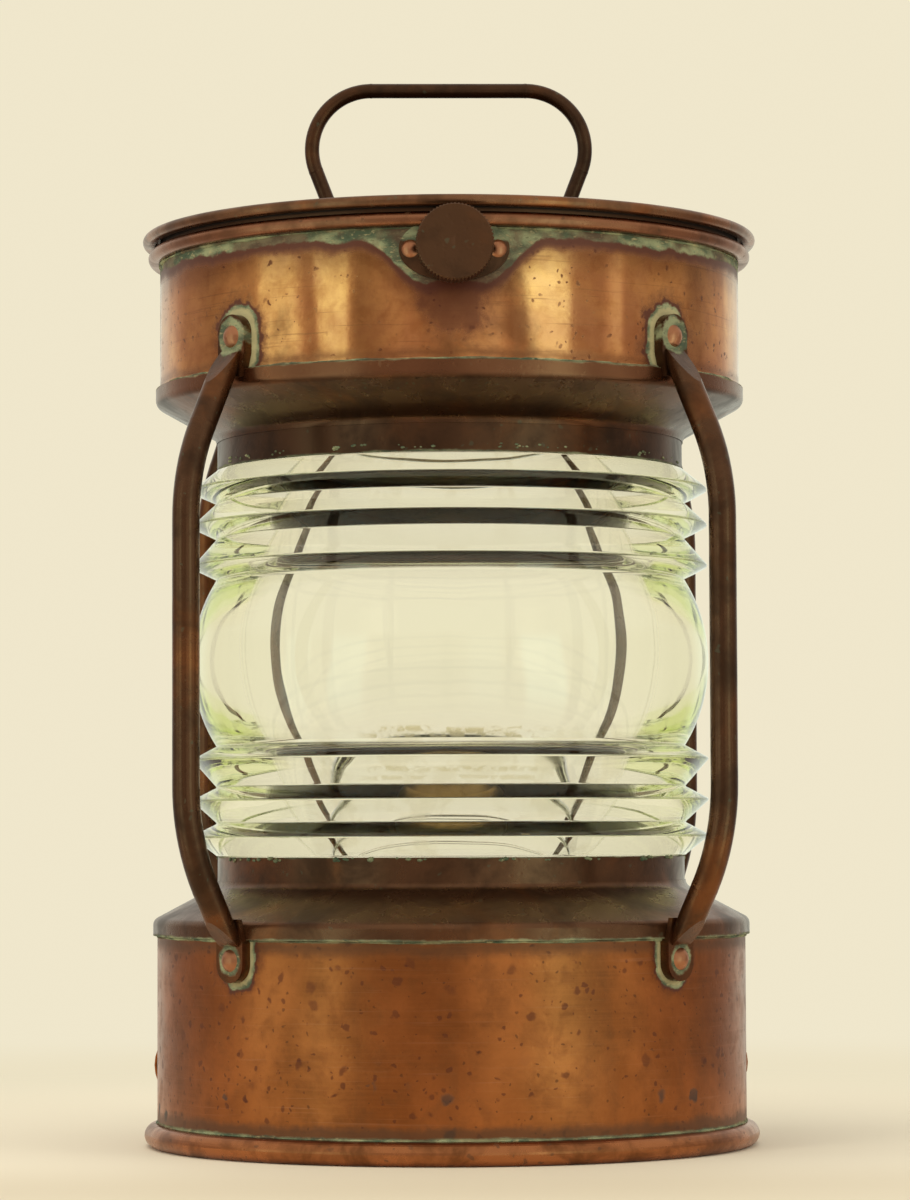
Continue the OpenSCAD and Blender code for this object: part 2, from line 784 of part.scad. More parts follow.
module hinge_pin() {
    head = 0.9;
    color("peru") {
        barrel(pin_r, -hinge_w / 2, hinge_w / 2);
        barrel(pin_r + 0.8, -hinge_w / 2 - head, -hinge_w / 2);
        barrel(pin_r + 0.8, hinge_w / 2, hinge_w / 2 + head);
    }
}

module lid_leaf_rivet_places() {
    for (s = [-1, 1]) translate([s * hinge_w / 4, lid_leaf_rivet_y, 0]) children();
}

// The lid's leaf lies on the lid and narrows to the middle knuckle
module hinge_lid_leaf() {
    color("sienna")
        difference() {
            union() {
                translate([-hinge_w / 2, lid_leaf_start, lid_top])
                    cube([hinge_w, lid_r - leaf_lap - lid_leaf_start, leaf_t]);
                translate([-knuckle_half, lid_r - leaf_lap - cut, lid_top])
                    cube([2 * knuckle_half, hinge_y - lid_r + leaf_lap + cut, leaf_t]);
                barrel(barrel_r, -knuckle_half, knuckle_half);
            }
            barrel(pin_r + run, -hinge_w, hinge_w);
            lid_leaf_rivet_places() translate([0, 0, lid_top - cut])
                cylinder(r = small_shank_r + run, h = leaf_t + 2 * cut);
        }
}

module hinge_lid_rivets() {
    color("chocolate")
        lid_leaf_rivet_places() rivet(lid_top + leaf_t, leaf_t + lid_t, small_shank_r, small_head_r);
}

// Lid

module post_places() {
    for (angle = [0:90:270]) rotate([0, 0, angle]) translate([post_ring, 0, 0]) children();
}

module stud_places() {
    for (angle = [15:120:255]) rotate([0, 0, angle]) translate([stud_ring, 0, 0]) children();
}

module ear_rivet_places() {
    for (s = [-1, 1]) translate([s * (ear_x + ear_t + 6), 0, 0]) children();
}

// A hole through the lid for a pin of radius r
module lid_hole(r) {
    translate([0, 0, lid_under - cut]) cylinder(r = r + run, h = plateau_h + lid_t + 2 * cut);
}

// A pressed cover: flat rim, raised middle, and an upturned lip round the vent
module lid_plate() {
    step = plateau_h;
    path = concat(
        [[lid_plate_r, lid_top]],
        arc([plateau_r + 2 * step, lid_top + step], step, 270, 270 - 45, 4),
        arc([plateau_r, lid_top], step, 45, 90, 4),
        [[vent_r + lid_t, plateau_top], [vent_r + lid_t, plateau_top + hood_gap]]);
    color("peru")
        difference() {
            rotate_extrude() polygon(sheet(path, lid_t));
            post_places() lid_hole(post_r - 0.5);
            stud_places() lid_hole(post_r - 0.5);
            ear_rivet_places() lid_hole(small_shank_r);
            lid_leaf_rivet_places() lid_hole(small_shank_r);
        }
}

module lid_edge() {
    color("peru") bead(lid_plate_r, lid_r, lid_edge_bottom, lid_edge_h);
}

module lid_skirt() {
    color("peru")
        difference() {
            tube(skirt_r, skirt_t, skirt_bottom, lid_under);
            on_wall(-90, lock_z) cylinder(r = lock_hole_r, h = skirt_r + cut);
        }
}

module vent_hood() {
    round_r = 2;
    top = hood_top;
    path = concat(
        [[hood_r, plateau_top + hood_gap]],
        arc([hood_r - round_r, top - 1 - round_r], round_r, 0, 80, 6),
        [[hood_r / 2, top], [0, top]]);
    color("peru") rotate_extrude() polygon(sheet(path, hood_t));
}

// The posts hold the hood up: a collar between lid and hood, and a tail through the lid
module vent_posts() {
    under = hood_top - 1 - hood_t - 0.1;
    color("chocolate")
        post_places() {
            translate([0, 0, plateau_top]) cylinder(r = post_r, h = under - plateau_top);
            translate([0, 0, plateau_under - 0.8]) cylinder(r = post_r - 0.5, h = lid_t + 0.8);
            translate([0, 0, plateau_under - 0.8]) cylinder(r = post_r, h = 0.8);
        }
}

module draught_plate() {
    path = concat(
        [[draught_r, draught_z - draught_lip]],
        arc([draught_r - draught_round, draught_z - draught_round], draught_round, 0, 90, 4),
        [[0, draught_z]]);
    color("peru")
        difference() {
            rotate_extrude() polygon(sheet(path, draught_t));
            stud_places() translate([0, 0, draught_z - draught_t - cut])
                cylinder(r = post_r - 0.5 + run, h = draught_t + 2 * cut);
        }
}

module draught_studs() {
    color("chocolate")
        stud_places() {
            translate([0, 0, draught_z]) cylinder(r = post_r, h = plateau_under - draught_z);
            translate([0, 0, draught_z - draught_t - 0.8]) cylinder(r = post_r - 0.5, h = draught_t + 0.8);
            translate([0, 0, draught_z - draught_t - 0.8]) cylinder(r = post_r, h = 0.8);
            translate([0, 0, plateau_under]) cylinder(r = post_r - 0.5, h = lid_t);
            translate([0, 0, plateau_top]) cylinder(r = post_r, h = 0.6);
        }
}

// Handle

module handle_ears() {
    color("sienna")
        for (s = [0, 1]) mirror([s, 0, 0])
            difference() {
                union() {
                    translate([ear_x, 0, pivot_z]) rotate([0, 90, 0]) cylinder(r = ear_top_r, h = ear_t);
                    translate([ear_x, -ear_top_r, plateau_top]) cube([ear_t, 2 * ear_top_r, pivot_h]);
                    translate([ear_x, -ear_w / 2, plateau_top])
                        cube([ear_t + ear_foot_l - ear_w / 2, ear_w, ear_foot_t]);
                    translate([ear_x + ear_t + ear_foot_l - ear_w / 2, 0, plateau_top])
                        cylinder(r = ear_w / 2, h = ear_foot_t);
                }
                translate([ear_x - cut, 0, pivot_z]) rotate([0, 90, 0])
                    cylinder(r = wire_r + run, h = ear_t + 2 * cut);
                translate([ear_x + ear_t + 6, 0, plateau_top - cut])
                    cylinder(r = small_shank_r + run, h = ear_foot_t + 2 * cut);
            }
}

module ear_rivets() {
    color("chocolate")
        ear_rivet_places()
            rivet(plateau_top + ear_foot_t, ear_foot_t + lid_t, small_shank_r, small_head_r * 0.8);
}

// A bend of the wire in the XZ plane, from the angle start, counted from +X towards +Z
module wire_bend(centre, r, start) {
    translate([centre.x, 0, centre.y]) rotate([90, 0, 0]) rotate([0, 0, start])
        rotate_extrude(angle = turn, $fn = 192) translate([r, 0]) circle(r = wire_r, $fn = 48);
}

// The bends and straights of the wire meet inside balls a little thicker than the wire
module wire_joint(point) {
    translate([point.x, 0, point.y]) sphere(r = wire_r + 0.06, $fn = 48);
}

// One side of the handle: upper bend, leg, foot bend, pivot pin and the pin's flattened head
module handle_side() {
    for (point = [[bar_half, bar_z], leg_top, leg_foot, [foot_bend_x, pivot_z]]) wire_joint(point);
    wire_bend([bar_half, bar_z - handle_bend_r], handle_bend_r, 90 - turn);
    translate([leg_foot.x, 0, leg_foot.y]) rotate([0, handle_lean, 0]) translate([0, 0, joint_gap])
        cylinder(r = wire_r, h = norm(leg_top - leg_foot) - 2 * joint_gap, $fn = 48);
    wire_bend([foot_bend_x, pivot_z + foot_bend_r], foot_bend_r, 270 - turn);
    translate([foot_bend_x + joint_gap, 0, pivot_z]) rotate([0, 90, 0])
        cylinder(r = wire_r, h = pin_end + 0.5 - foot_bend_x - joint_gap, $fn = 48);
    translate([pin_end, 0, pivot_z]) rotate([0, 90, 0]) cylinder(r = wire_r + pin_head, h = 1);
}

module handle() {
    color("saddlebrown") {
        translate([joint_gap - bar_half, 0, bar_z]) rotate([0, 90, 0])
            cylinder(r = wire_r, h = 2 * (bar_half - joint_gap), $fn = 48);
        handle_side();
        rotate([0, 0, 180]) handle_side();
    }
}

// Oil lamp

// The tank's outline outside, from the middle of its floor to the top of its neck
function font_path() = concat(
    [[0, base_plate_t]],
    arc([font_r - 3, base_plate_t + 3], 3, -90, 0, 5),
    arc([font_r - 5, base_plate_t + font_side - 5], 5, 0, 72, 5),
    [[font_neck_r, font_top], [font_neck_r, neck_top]]);

module font() {
    color("goldenrod") rotate_extrude() polygon(sheet(font_path(), font_t));
}

// Three sprung clips on the floor of the drum, which the font is pushed down between
module font_clips() {
    inner = font_r + seat_gap;
    path = [[inner + clip_w, base_plate_t], [inner, base_plate_t], [inner, base_plate_t + clip_h],
        [inner + clip_flare, base_plate_t + clip_h + clip_lip]];
    color("goldenrod")
        for (angle = [30:120:270])
            rotate([0, 0, angle]) translate([0, clip_w / 2, 0]) rotate([90, 0, 0])
                linear_extrude(height = clip_w) polygon(sheet(path, -clip_t));
}

// A wire loop on top of the font, to lift it by
module font_loop() {
    loop_r = 10;
    at_r = (font_neck_r + font_r) / 2;
    loop_wire = 1.4;
    color("goldenrod")
        difference() {
            translate([0, at_r, font_top + 1]) {
                rotate([90, 0, 0])
                    rotate_extrude(angle = 180) translate([loop_r, 0]) circle(r = loop_wire, $fn = 24);
                for (s = [-1, 1]) translate([s * loop_r, 0, -12]) cylinder(r = loop_wire, h = 12, $fn = 24);
            }
            rotate_extrude() polygon(concat(font_path(), [[0, neck_top]]));
        }
}

// The wick's flat tube, on a plate that sits on the font's neck, with two lugs for the spindle
module burner() {
    plate_r = font_neck_r + 3;
    color("goldenrod")
        difference() {
            union() {
                translate([0, 0, neck_top]) cylinder(r = plate_r, h = 1.5);
                tube(font_neck_r - font_t - seat_gap, 1.2, font_top - 2, neck_top);
                translate([-tube_w / 2, -tube_d / 2, font_top - 8])
                    cube([tube_w, tube_d, tube_top - font_top + 8]);
                for (s = [-1, 1])
                    translate([s * (tube_w / 2 - 0.2 + lug_t / 2) - lug_t / 2, wheel_y - 3, neck_top + 1])
                        cube([lug_t, tube_d / 2 - wheel_y + 3, wheel_z - neck_top + 3]);
            }
            translate([-wick_w / 2 - seat_gap, -wick_t / 2 - seat_gap, 0])
                cube([wick_w + 2 * seat_gap, wick_t + 2 * seat_gap, cone_top]);
            for (s = [-1, 1])
                translate([s * 4 - 1.2, wheel_y - wick_wheel_r, wheel_z - wick_wheel_r - 0.5])
                    cube([2.4, -wheel_y + wick_wheel_r, 2 * wick_wheel_r + 1]);
            translate([-font_r, wheel_y, wheel_z]) rotate([0, 90, 0])
                cylinder(r = spindle_r + run, h = 2 * font_r);
        }
}

// A dome over the burner with a slot for the flame, on four legs between its windows
module burner_cone() {
    foot_z = wheel_z + 8;
    base_r = font_neck_r + 3;
    window_w = base_r;
    window_z = neck_top + 3;
    path = concat(
        [[base_r, neck_top + 1.5], [base_r, foot_z + 5]],
        arc([base_r - 12, foot_z + 5], 12, 10, 50, 5),
        [[base_r - 8.5, cone_top - 1.5], [base_r - 11, cone_top], [0, cone_top]]);
    color("goldenrod")
        difference() {
            rotate_extrude() polygon(sheet(path, 0.8));
            translate([-wick_w / 2 - 1.5, -wick_t / 2 - 1, cone_top - 12])
                cube([wick_w + 3, wick_t + 2, 13]);
            for (angle = [0, 90])
                rotate([0, 0, angle]) translate([-font_r, -window_w / 2, window_z])
                    cube([2 * font_r, window_w, foot_z - window_z]);
        }
}

module wick() {
    color("ivory")
        translate([-wick_w / 2, -wick_t / 2, base_plate_t + font_t + 8])
            cube([wick_w, wick_t, tube_top + 2 - base_plate_t - font_t - 8]);
}

// Toothed wheels on the spindle, which just reach the wick through the tube's windows
module wick_wheels() {
    teeth = 12;
    outline = [for (i = [0:2 * teeth - 1])
        (wick_wheel_r - (i % 2) * 0.8) * [cos(i * 180 / teeth), sin(i * 180 / teeth)]];
    color("goldenrod") {
        translate([-tube_w / 2 - lug_t - 2, wheel_y, wheel_z]) rotate([0, 90, 0])
            cylinder(r = spindle_r, h = thumb_x + tube_w / 2 + lug_t + 2 + 3);
        for (s = [-1, 1])
            translate([s * 4 - 0.9, wheel_y, wheel_z]) rotate([0, 90, 0])
                linear_extrude(height = 1.8) polygon(outline);
    }
}

module thumb_wheel() {
    color("goldenrod")
        translate([thumb_x, wheel_y, wheel_z]) rotate([0, 90, 0])
            difference() {
                linear_extrude(height = 3)
                    polygon([for (i = [0:47]) (thumb_r - (i % 2) * 0.4) * [cos(i * 7.5), sin(i * 7.5)]]);
                translate([0, 0, -cut]) cylinder(r = spindle_r, h = 3 + 2 * cut);
            }
}

base_plate();
foot_ring();
base_drum();
air_scoops();
base_shoulder();
lower_collar();
lower_packing();
lens();
upper_packing();
upper_collar();
upper_shoulder();
upper_drum();
body_rim();
rod(225);  // rod_front_left
rod(315);  // rod_front_right
rod(135);  // rod_rear_left
rod(45);  // rod_rear_right
rod_rivets();
lock_plate();
lock_plate_rivets();
lock_bush();
lock_washer();
lock_screw();
lock_knob();
hinge_body_leaf();
hinge_body_rivets();
hinge_pin();
hinge_lid_leaf();
hinge_lid_rivets();
lid_plate();
lid_edge();
lid_skirt();
vent_hood();
vent_posts();
draught_plate();
draught_studs();
handle_ears();
ear_rivets();
handle();
font();
font_clips();
font_loop();
burner();
burner_cone();
wick();
wick_wheels();
thumb_wheel();
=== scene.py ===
"""Looks of a ribbed-lens oil anchor light in old copper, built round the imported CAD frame."""

import math

import bmesh
import bpy
from bpy.props import FloatProperty, FloatVectorProperty, IntProperty, PointerProperty
from mathutils import Matrix, Vector, noise


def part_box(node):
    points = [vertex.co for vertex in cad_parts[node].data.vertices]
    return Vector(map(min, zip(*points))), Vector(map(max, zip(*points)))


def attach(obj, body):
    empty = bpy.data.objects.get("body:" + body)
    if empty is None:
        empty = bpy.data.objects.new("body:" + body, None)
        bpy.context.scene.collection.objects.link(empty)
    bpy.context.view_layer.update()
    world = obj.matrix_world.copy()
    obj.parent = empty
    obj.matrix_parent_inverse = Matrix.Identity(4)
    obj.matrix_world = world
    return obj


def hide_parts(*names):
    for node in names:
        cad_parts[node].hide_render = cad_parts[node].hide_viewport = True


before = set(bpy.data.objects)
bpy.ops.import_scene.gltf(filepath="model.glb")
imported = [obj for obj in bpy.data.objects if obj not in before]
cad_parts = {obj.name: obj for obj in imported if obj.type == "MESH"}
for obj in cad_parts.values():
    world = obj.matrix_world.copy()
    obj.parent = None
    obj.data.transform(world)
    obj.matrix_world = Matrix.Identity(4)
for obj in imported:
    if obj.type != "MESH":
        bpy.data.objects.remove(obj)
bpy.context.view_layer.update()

bl_info = {
    "name": "Anchor Light",
    "version": (1, 0, 0),
    "blender": (4, 5, 0),
    "location": "View3D > Sidebar > Anchor Light",
    "description": "Glass, finishes and studio for an oil anchor light",
    "category": "Object",
}

MM = 0.001

# The camera, fitted to the photograph: the lamp fills a tall frame seen from near its foot
FRAME_HEIGHT_PX = 1200
FOCAL_PX = 4152
SENSOR = 36
CAMERA_REACH = 1278 * MM
CAMERA_HEIGHT = 94.9 * MM
CAMERA_ASIDE = 1.48 * MM
CAMERA_AZIMUTH = math.radians(-1.05)
CAMERA_PITCH = math.radians(3.21)
CAMERA_ROLL = math.radians(-0.22)

# How often light may turn on its way through the thick ribbed glass
GLASS_TURNS = 24


# Sizes and colours that a user would change

def size(name, text, value, low=0.0, high=0.5):
    """A length in metres, given here in millimetres."""
    return FloatProperty(name=name, description=text, default=value * MM, min=low, max=high,
                         precision=5, unit="LENGTH")


def tint(name, text, value):
    """A colour in linear light."""
    return FloatVectorProperty(name=name, description=text, default=value, size=3, min=0, max=1,
                               subtype="COLOR")


class LampLens(bpy.types.PropertyGroup):
    root: size("Root radius", "Radius at the roots of the ribs", 72)
    tip: size("Tip radius", "Radius at the tips of the ribs", 79.1)
    belly: size("Belly radius", "Radius at the middle of the belly", 79.3)
    inside: size("Inner radius", "Radius of the smooth inner wall", 64.5)
    belly_half: size("Belly half height", "Half the height of the belly", 25.5)
    second_root: size("Second root", "Height of the second ribs' roots from the middle", 38)
    third_root: size("Third root", "Height of the third ribs' roots from the middle", 49)
    half_height: size("Half height", "Half the height of the visible glass", 59)
    rib_rise: size("Rib rise", "Rise of each rib's short face", 3.8)
    tip_flat: size("Tip flat", "Width of the flat at each rib's tip", 0.5)
    spigot: size("Spigot radius", "Radius of the plain ends inside the collars", 69.8)
    spigot_length: size("Spigot length", "Length of each plain end", 4.4)
    edge_round: size("Edge rounding", "Rounding of the moulded edges", 0.25)
    steps: IntProperty(name="Steps", description="Steps round the glass", default=288, min=32, max=720)


class LampScrew(bpy.types.PropertyGroup):
    crest: size("Crest radius", "Outer radius of the thread", 4)
    depth: size("Thread depth", "Depth of the thread", 0.65)
    pitch: size("Pitch", "Pitch of the thread", 1.25)
    plain: size("Plain length", "Plain stretches at the ends", 1)
    steps: IntProperty(name="Steps", description="Steps in a turn of the thread", default=40, min=12, max=96)


class LampDeposit(bpy.types.PropertyGroup):
    thickness: size("Thickness", "Half thickness of the crust in the seams", 0.42)
    steps: IntProperty(name="Steps", description="Steps round a seam", default=540, min=90, max=1080)
    crumbs: IntProperty(name="Crumbs", description="Crumbs on each collar's rim", default=130, min=0, max=400)


class LampFinish(bpy.types.PropertyGroup):
    upper: tint("Upper copper", "Polished copper of the head", (0.73, 0.345, 0.118))
    lower: tint("Lower copper", "Worn copper of the base", (0.365, 0.118, 0.034))
    bloom: tint("Bloom", "Pink cast where the copper was rubbed", (0.58, 0.27, 0.15))
    patina: tint("Patina", "Dark brown oxide on fittings and necks", (0.095, 0.043, 0.02))
    oxide: tint("Red oxide", "Red brown border between crust and metal", (0.085, 0.020, 0.009))
    # Also used as a painted shadow: the upper drum is painted nearly black in the gap under the lid.
    soot_and_gap_shadow: tint("Soot", "Nearly black marks", (0.022, 0.011, 0.006))
    verdigris: tint("Verdigris", "Pale green crust", (0.29, 0.325, 0.18))
    moss: tint("Moss", "Dark teal stain in the crust", (0.062, 0.095, 0.055))
    lime: tint("Lime", "Cream deposit on the edges of the crust", (0.46, 0.40, 0.21))
    brass: tint("Brass", "Dull brass of the burner", (0.42, 0.27, 0.10))
    glass: tint("Glass", "Tint of the lens", (1.0, 1.0, 1.0))
    wall: tint("Wall", "Colour of the wall and the far table", (0.868, 0.795, 0.602))
    table: tint("Table", "Colour of the table by the lamp", (0.78, 0.715, 0.57))


# Node helpers

def node(tree, kind, label="", inputs=(), **settings):
    """Adds a node, sets its properties, and fills or links its inputs by name or number."""
    made = tree.nodes.new(kind)
    made.label = label
    for key, value in settings.items():
        setattr(made, key, value)
    for key, value in dict(inputs).items():
        socket = made.inputs[key]
        if isinstance(value, bpy.types.NodeSocket):
            tree.links.new(value, socket)
        else:
            socket.default_value = value
    return made


def sums(tree, operation, *values, clamp=False):
    """A Math node's result."""
    return node(tree, "ShaderNodeMath", operation=operation, use_clamp=clamp,
                inputs=dict(enumerate(values))).outputs[0]


def spread(tree, value, low, high, to_low=0.0, to_high=1.0):
    """A smooth step of value from low to high."""
    return node(tree, "ShaderNodeMapRange", interpolation_type="SMOOTHSTEP", inputs={
        "Value": value, "From Min": low, "From Max": high, "To Min": to_low, "To Max": to_high,
    }).outputs["Result"]


def blend(tree, amount, first, second, mode="MIX"):
    """A mix of two colours."""
    made = node(tree, "ShaderNodeMix", data_type="RGBA", blend_type=mode)
    colours = [s for s in made.inputs if s.type == "RGBA"]
    for socket, value in ((made.inputs[0], amount), (colours[0], first), (colours[1], second)):
        if isinstance(value, bpy.types.NodeSocket):
            tree.links.new(value, socket)
        else:
            socket.default_value = value
    return next(s for s in made.outputs if s.type == "RGBA")


def full(colour, alpha=1.0):
    return (*colour, alpha)


def group(name, takes, gives):
    """A new shader node group with number and vector sockets; returns the tree and its two ends."""
    tree = bpy.data.node_groups.new(name, "ShaderNodeTree")
    for label, kind, default in takes:
        socket = tree.interface.new_socket(label, in_out="INPUT", socket_type="NodeSocket" + kind)
        if default is not None:
            socket.default_value = default
    for label, kind in gives:
        tree.interface.new_socket(label, in_out="OUTPUT", socket_type="NodeSocket" + kind)
    return tree, node(tree, "NodeGroupInput"), node(tree, "NodeGroupOutput")


def use(tree, shared, inputs=()):
    """Places a shared group in a material, and returns its outputs."""
    return node(tree, "ShaderNodeGroup", label=shared.name, node_tree=shared, inputs=inputs).outputs


# Shared effects

def mottle_group():
    """Cloudy patches with a soft edge, for oxide and rubbed places."""
    tree, start, end = group("Mottle", [
        ("Vector", "Vector", None), ("Scale", "Float", 40.0), ("Low", "Float", 0.45), ("High", "Float", 0.65),
    ], [("Mask", "Float")])
    cloud = node(tree, "ShaderNodeTexNoise", "cloud", inputs={
        "Vector": start.outputs["Vector"], "Scale": start.outputs["Scale"], "Detail": 6.0, "Roughness": 0.62,
        "Distortion": 0.35})
    mask = spread(tree, cloud.outputs[0], start.outputs["Low"], start.outputs["High"])
    tree.links.new(mask, end.inputs["Mask"])
    return tree


def drips_group():
    """Upright runs and soft streaks, stretched along Z."""
    tree, start, end = group("Drips", [
        ("Vector", "Vector", None), ("Across", "Float", 110.0), ("Along", "Float", 9.0),
        ("Low", "Float", 0.52), ("High", "Float", 0.72),
    ], [("Mask", "Float")])
    stretch = node(tree, "ShaderNodeCombineXYZ", inputs={
        0: start.outputs["Across"], 1: start.outputs["Across"], 2: start.outputs["Along"]})
    place = node(tree, "ShaderNodeVectorMath", operation="MULTIPLY", inputs={
        0: start.outputs["Vector"], 1: stretch.outputs[0]})
    runs = node(tree, "ShaderNodeTexNoise", "runs", inputs={
        "Vector": place.outputs[0], "Scale": 1.0, "Detail": 5.0, "Roughness": 0.55, "Distortion": 0.6})
    mask = spread(tree, runs.outputs[0], start.outputs["Low"], start.outputs["High"])
    tree.links.new(mask, end.inputs["Mask"])
    return tree


def spots_group():
    """Scattered round spots of uneven size, such as water marks and pits."""
    tree, start, end = group("Spots", [
        ("Vector", "Vector", None), ("Scale", "Float", 150.0), ("Size", "Float", 0.2), ("Share", "Float", 0.6),
    ], [("Mask", "Float")])
    bend = node(tree, "ShaderNodeTexNoise", "bend", inputs={
        "Vector": start.outputs["Vector"], "Scale": 260.0, "Detail": 2.0})
    bent = node(tree, "ShaderNodeVectorMath", operation="MULTIPLY_ADD", inputs={
        0: bend.outputs["Color"], 1: (0.004, 0.004, 0.004), 2: start.outputs["Vector"]})
    cells = node(tree, "ShaderNodeTexVoronoi", "cells", inputs={
        "Vector": bent.outputs[0], "Scale": start.outputs["Scale"]})
    pick = node(tree, "ShaderNodeSeparateColor", inputs={0: cells.outputs["Color"]})
    chosen = sums(tree, "GREATER_THAN", pick.outputs[0], start.outputs["Share"])
    reach = sums(tree, "MULTIPLY", start.outputs["Size"], sums(tree, "ADD", pick.outputs[1], 0.35))
    spot = spread(tree, cells.outputs["Distance"], reach, sums(tree, "MULTIPLY", reach, 0.55))
    tree.links.new(sums(tree, "MULTIPLY", spot, chosen), end.inputs["Mask"])
    return tree


def seam_group():
    """A band with a ragged edge round a seam at a given height, in metres."""
    tree, start, end = group("Seam", [
        ("Vector", "Vector", None), ("Height", "Float", 0.1), ("Above", "Float", 0.001),
        ("Below", "Float", 0.003), ("Ragged", "Float", 0.004), ("Edge", "Float", 0.001),
    ], [("Mask", "Float")])
    split = node(tree, "ShaderNodeSeparateXYZ", inputs={0: start.outputs["Vector"]})
    edge = node(tree, "ShaderNodeTexNoise", "ragged edge", inputs={
        "Vector": start.outputs["Vector"], "Scale": 70.0, "Detail": 7.0, "Roughness": 0.68})
    wave = sums(tree, "MULTIPLY", sums(tree, "SUBTRACT", edge.outputs[0], 0.5), start.outputs["Ragged"])
    off = sums(tree, "ADD", sums(tree, "SUBTRACT", split.outputs["Z"], start.outputs["Height"]), wave)
    bottom = sums(tree, "MULTIPLY", start.outputs["Below"], -1.0)
    above = spread(tree, off, start.outputs["Above"],
                   sums(tree, "SUBTRACT", start.outputs["Above"], start.outputs["Edge"]))
    below = spread(tree, off, bottom, sums(tree, "ADD", bottom, start.outputs["Edge"]))
    tree.links.new(sums(tree, "MULTIPLY", above, below), end.inputs["Mask"])
    return tree


def rod_foot_group():
    """The stain round a rod's flat end: 1 on the flat and 0 at Reach from its outline."""
    tree, start, end = group("Rod_foot", [
        ("Vector", "Vector", None), ("Low", "Float", 0.1), ("High", "Float", 0.11),
        ("Half Width", "Float", 0.0055), ("Reach", "Float", 0.004), ("Edge", "Float", 0.001),
    ], [("Mask", "Float")])
    split = node(tree, "ShaderNodeSeparateXYZ", inputs={0: start.outputs["Vector"]})
    side = [sums(tree, "ABSOLUTE", split.outputs[axis]) for axis in ("X", "Y")]
    across = sums(tree, "MULTIPLY", sums(tree, "SUBTRACT", *side), math.sqrt(0.5))
    nearest = sums(tree, "MAXIMUM", sums(tree, "MINIMUM", split.outputs["Z"], start.outputs["High"]),
                   start.outputs["Low"])
    up = sums(tree, "SUBTRACT", split.outputs["Z"], nearest)
    away = sums(tree, "SQRT", sums(tree, "ADD", sums(tree, "POWER", across, 2.0), sums(tree, "POWER", up, 2.0)))
    edge = node(tree, "ShaderNodeTexNoise", "ragged edge", inputs={
        "Vector": start.outputs["Vector"], "Scale": 190.0, "Detail": 5.0, "Roughness": 0.65})
    wave = sums(tree, "MULTIPLY", sums(tree, "SUBTRACT", edge.outputs[0], 0.5),
                sums(tree, "MULTIPLY", start.outputs["Reach"], 1.6))
    gap = sums(tree, "ADD", sums(tree, "SUBTRACT", away, start.outputs["Half Width"]), wave)
    tree.links.new(spread(tree, gap, start.outputs["Reach"],
                          sums(tree, "SUBTRACT", start.outputs["Reach"], start.outputs["Edge"])),
                   end.inputs["Mask"])
    return tree


def sag_group():
    """Lifts the coordinates near the lock, so that bands under the rim sag round the lock plate."""
    tree, start, end = group("Sag", [
        ("Vector", "Vector", None), ("Depth", "Float", 0.013), ("Inner", "Float", 0.008),
        ("Outer", "Float", 0.028),
    ], [("Vector", "Vector")])
    split = node(tree, "ShaderNodeSeparateXYZ", inputs={0: start.outputs["Vector"]})
    near = spread(tree, sums(tree, "ABSOLUTE", split.outputs["X"]), start.outputs["Outer"], start.outputs["Inner"])
    front = sums(tree, "LESS_THAN", split.outputs["Y"], 0.0)
    lift = sums(tree, "MULTIPLY", sums(tree, "MULTIPLY", near, front), start.outputs["Depth"])
    joined = node(tree, "ShaderNodeCombineXYZ", inputs={
        0: split.outputs["X"], 1: split.outputs["Y"], 2: sums(tree, "ADD", split.outputs["Z"], lift)})
    tree.links.new(joined.outputs[0], end.inputs["Vector"])
    return tree


def crust_group():
    """Colour of old verdigris: dark teal with paler streaks along the seam and cream flecks."""
    tree, start, end = group("Crust", [
        ("Vector", "Vector", None), ("Pale", "Color", None), ("Dark", "Color", None), ("Cream", "Color", None),
    ], [("Color", "Color")])
    flat = node(tree, "ShaderNodeVectorMath", operation="MULTIPLY", inputs={
        0: start.outputs["Vector"], 1: (1.0, 1.0, 2.2)})
    patch = node(tree, "ShaderNodeTexNoise", "streaks", inputs={
        "Vector": flat.outputs[0], "Scale": 120.0, "Detail": 6.0, "Roughness": 0.62})
    fleck = node(tree, "ShaderNodeTexNoise", "flecks", inputs={
        "Vector": flat.outputs[0], "Scale": 480.0, "Detail": 4.0, "Roughness": 0.6})
    dark = spread(tree, patch.outputs[0], 0.38, 0.58)
    cream = spread(tree, fleck.outputs[0], 0.52, 0.70, 0.0, 0.7)
    vein = spread(tree, fleck.outputs[0], 0.42, 0.34, 0.0, 0.5)
    shade = blend(tree, dark, start.outputs["Pale"], start.outputs["Dark"])
    shade = blend(tree, cream, shade, start.outputs["Cream"])
    shade = blend(tree, vein, shade, blend(tree, 0.5, start.outputs["Dark"], (0.0, 0.0, 0.0, 1.0)))
    tree.links.new(shade, end.inputs["Color"])
    return tree


def wear_group():
    """Height of fine brushing and pits, for a Bump node."""
    tree, start, end = group("Wear", [
        ("Vector", "Vector", None), ("Fineness", "Float", 900.0), ("Pits", "Float", 0.5),
    ], [("Height", "Float")])
    grain = node(tree, "ShaderNodeTexNoise", "grain", inputs={
        "Vector": start.outputs["Vector"], "Scale": start.outputs["Fineness"], "Detail": 3.0})
    pits = node(tree, "ShaderNodeTexVoronoi", "pits", inputs={
        "Vector": start.outputs["Vector"], "Scale": 420.0})
    pit = sums(tree, "MULTIPLY", spread(tree, pits.outputs["Distance"], 0.0, 0.35), start.outputs["Pits"])
    tree.links.new(sums(tree, "ADD", sums(tree, "MULTIPLY", grain.outputs[0], 0.35), pit), end.inputs["Height"])
    return tree


GROUPS = {}


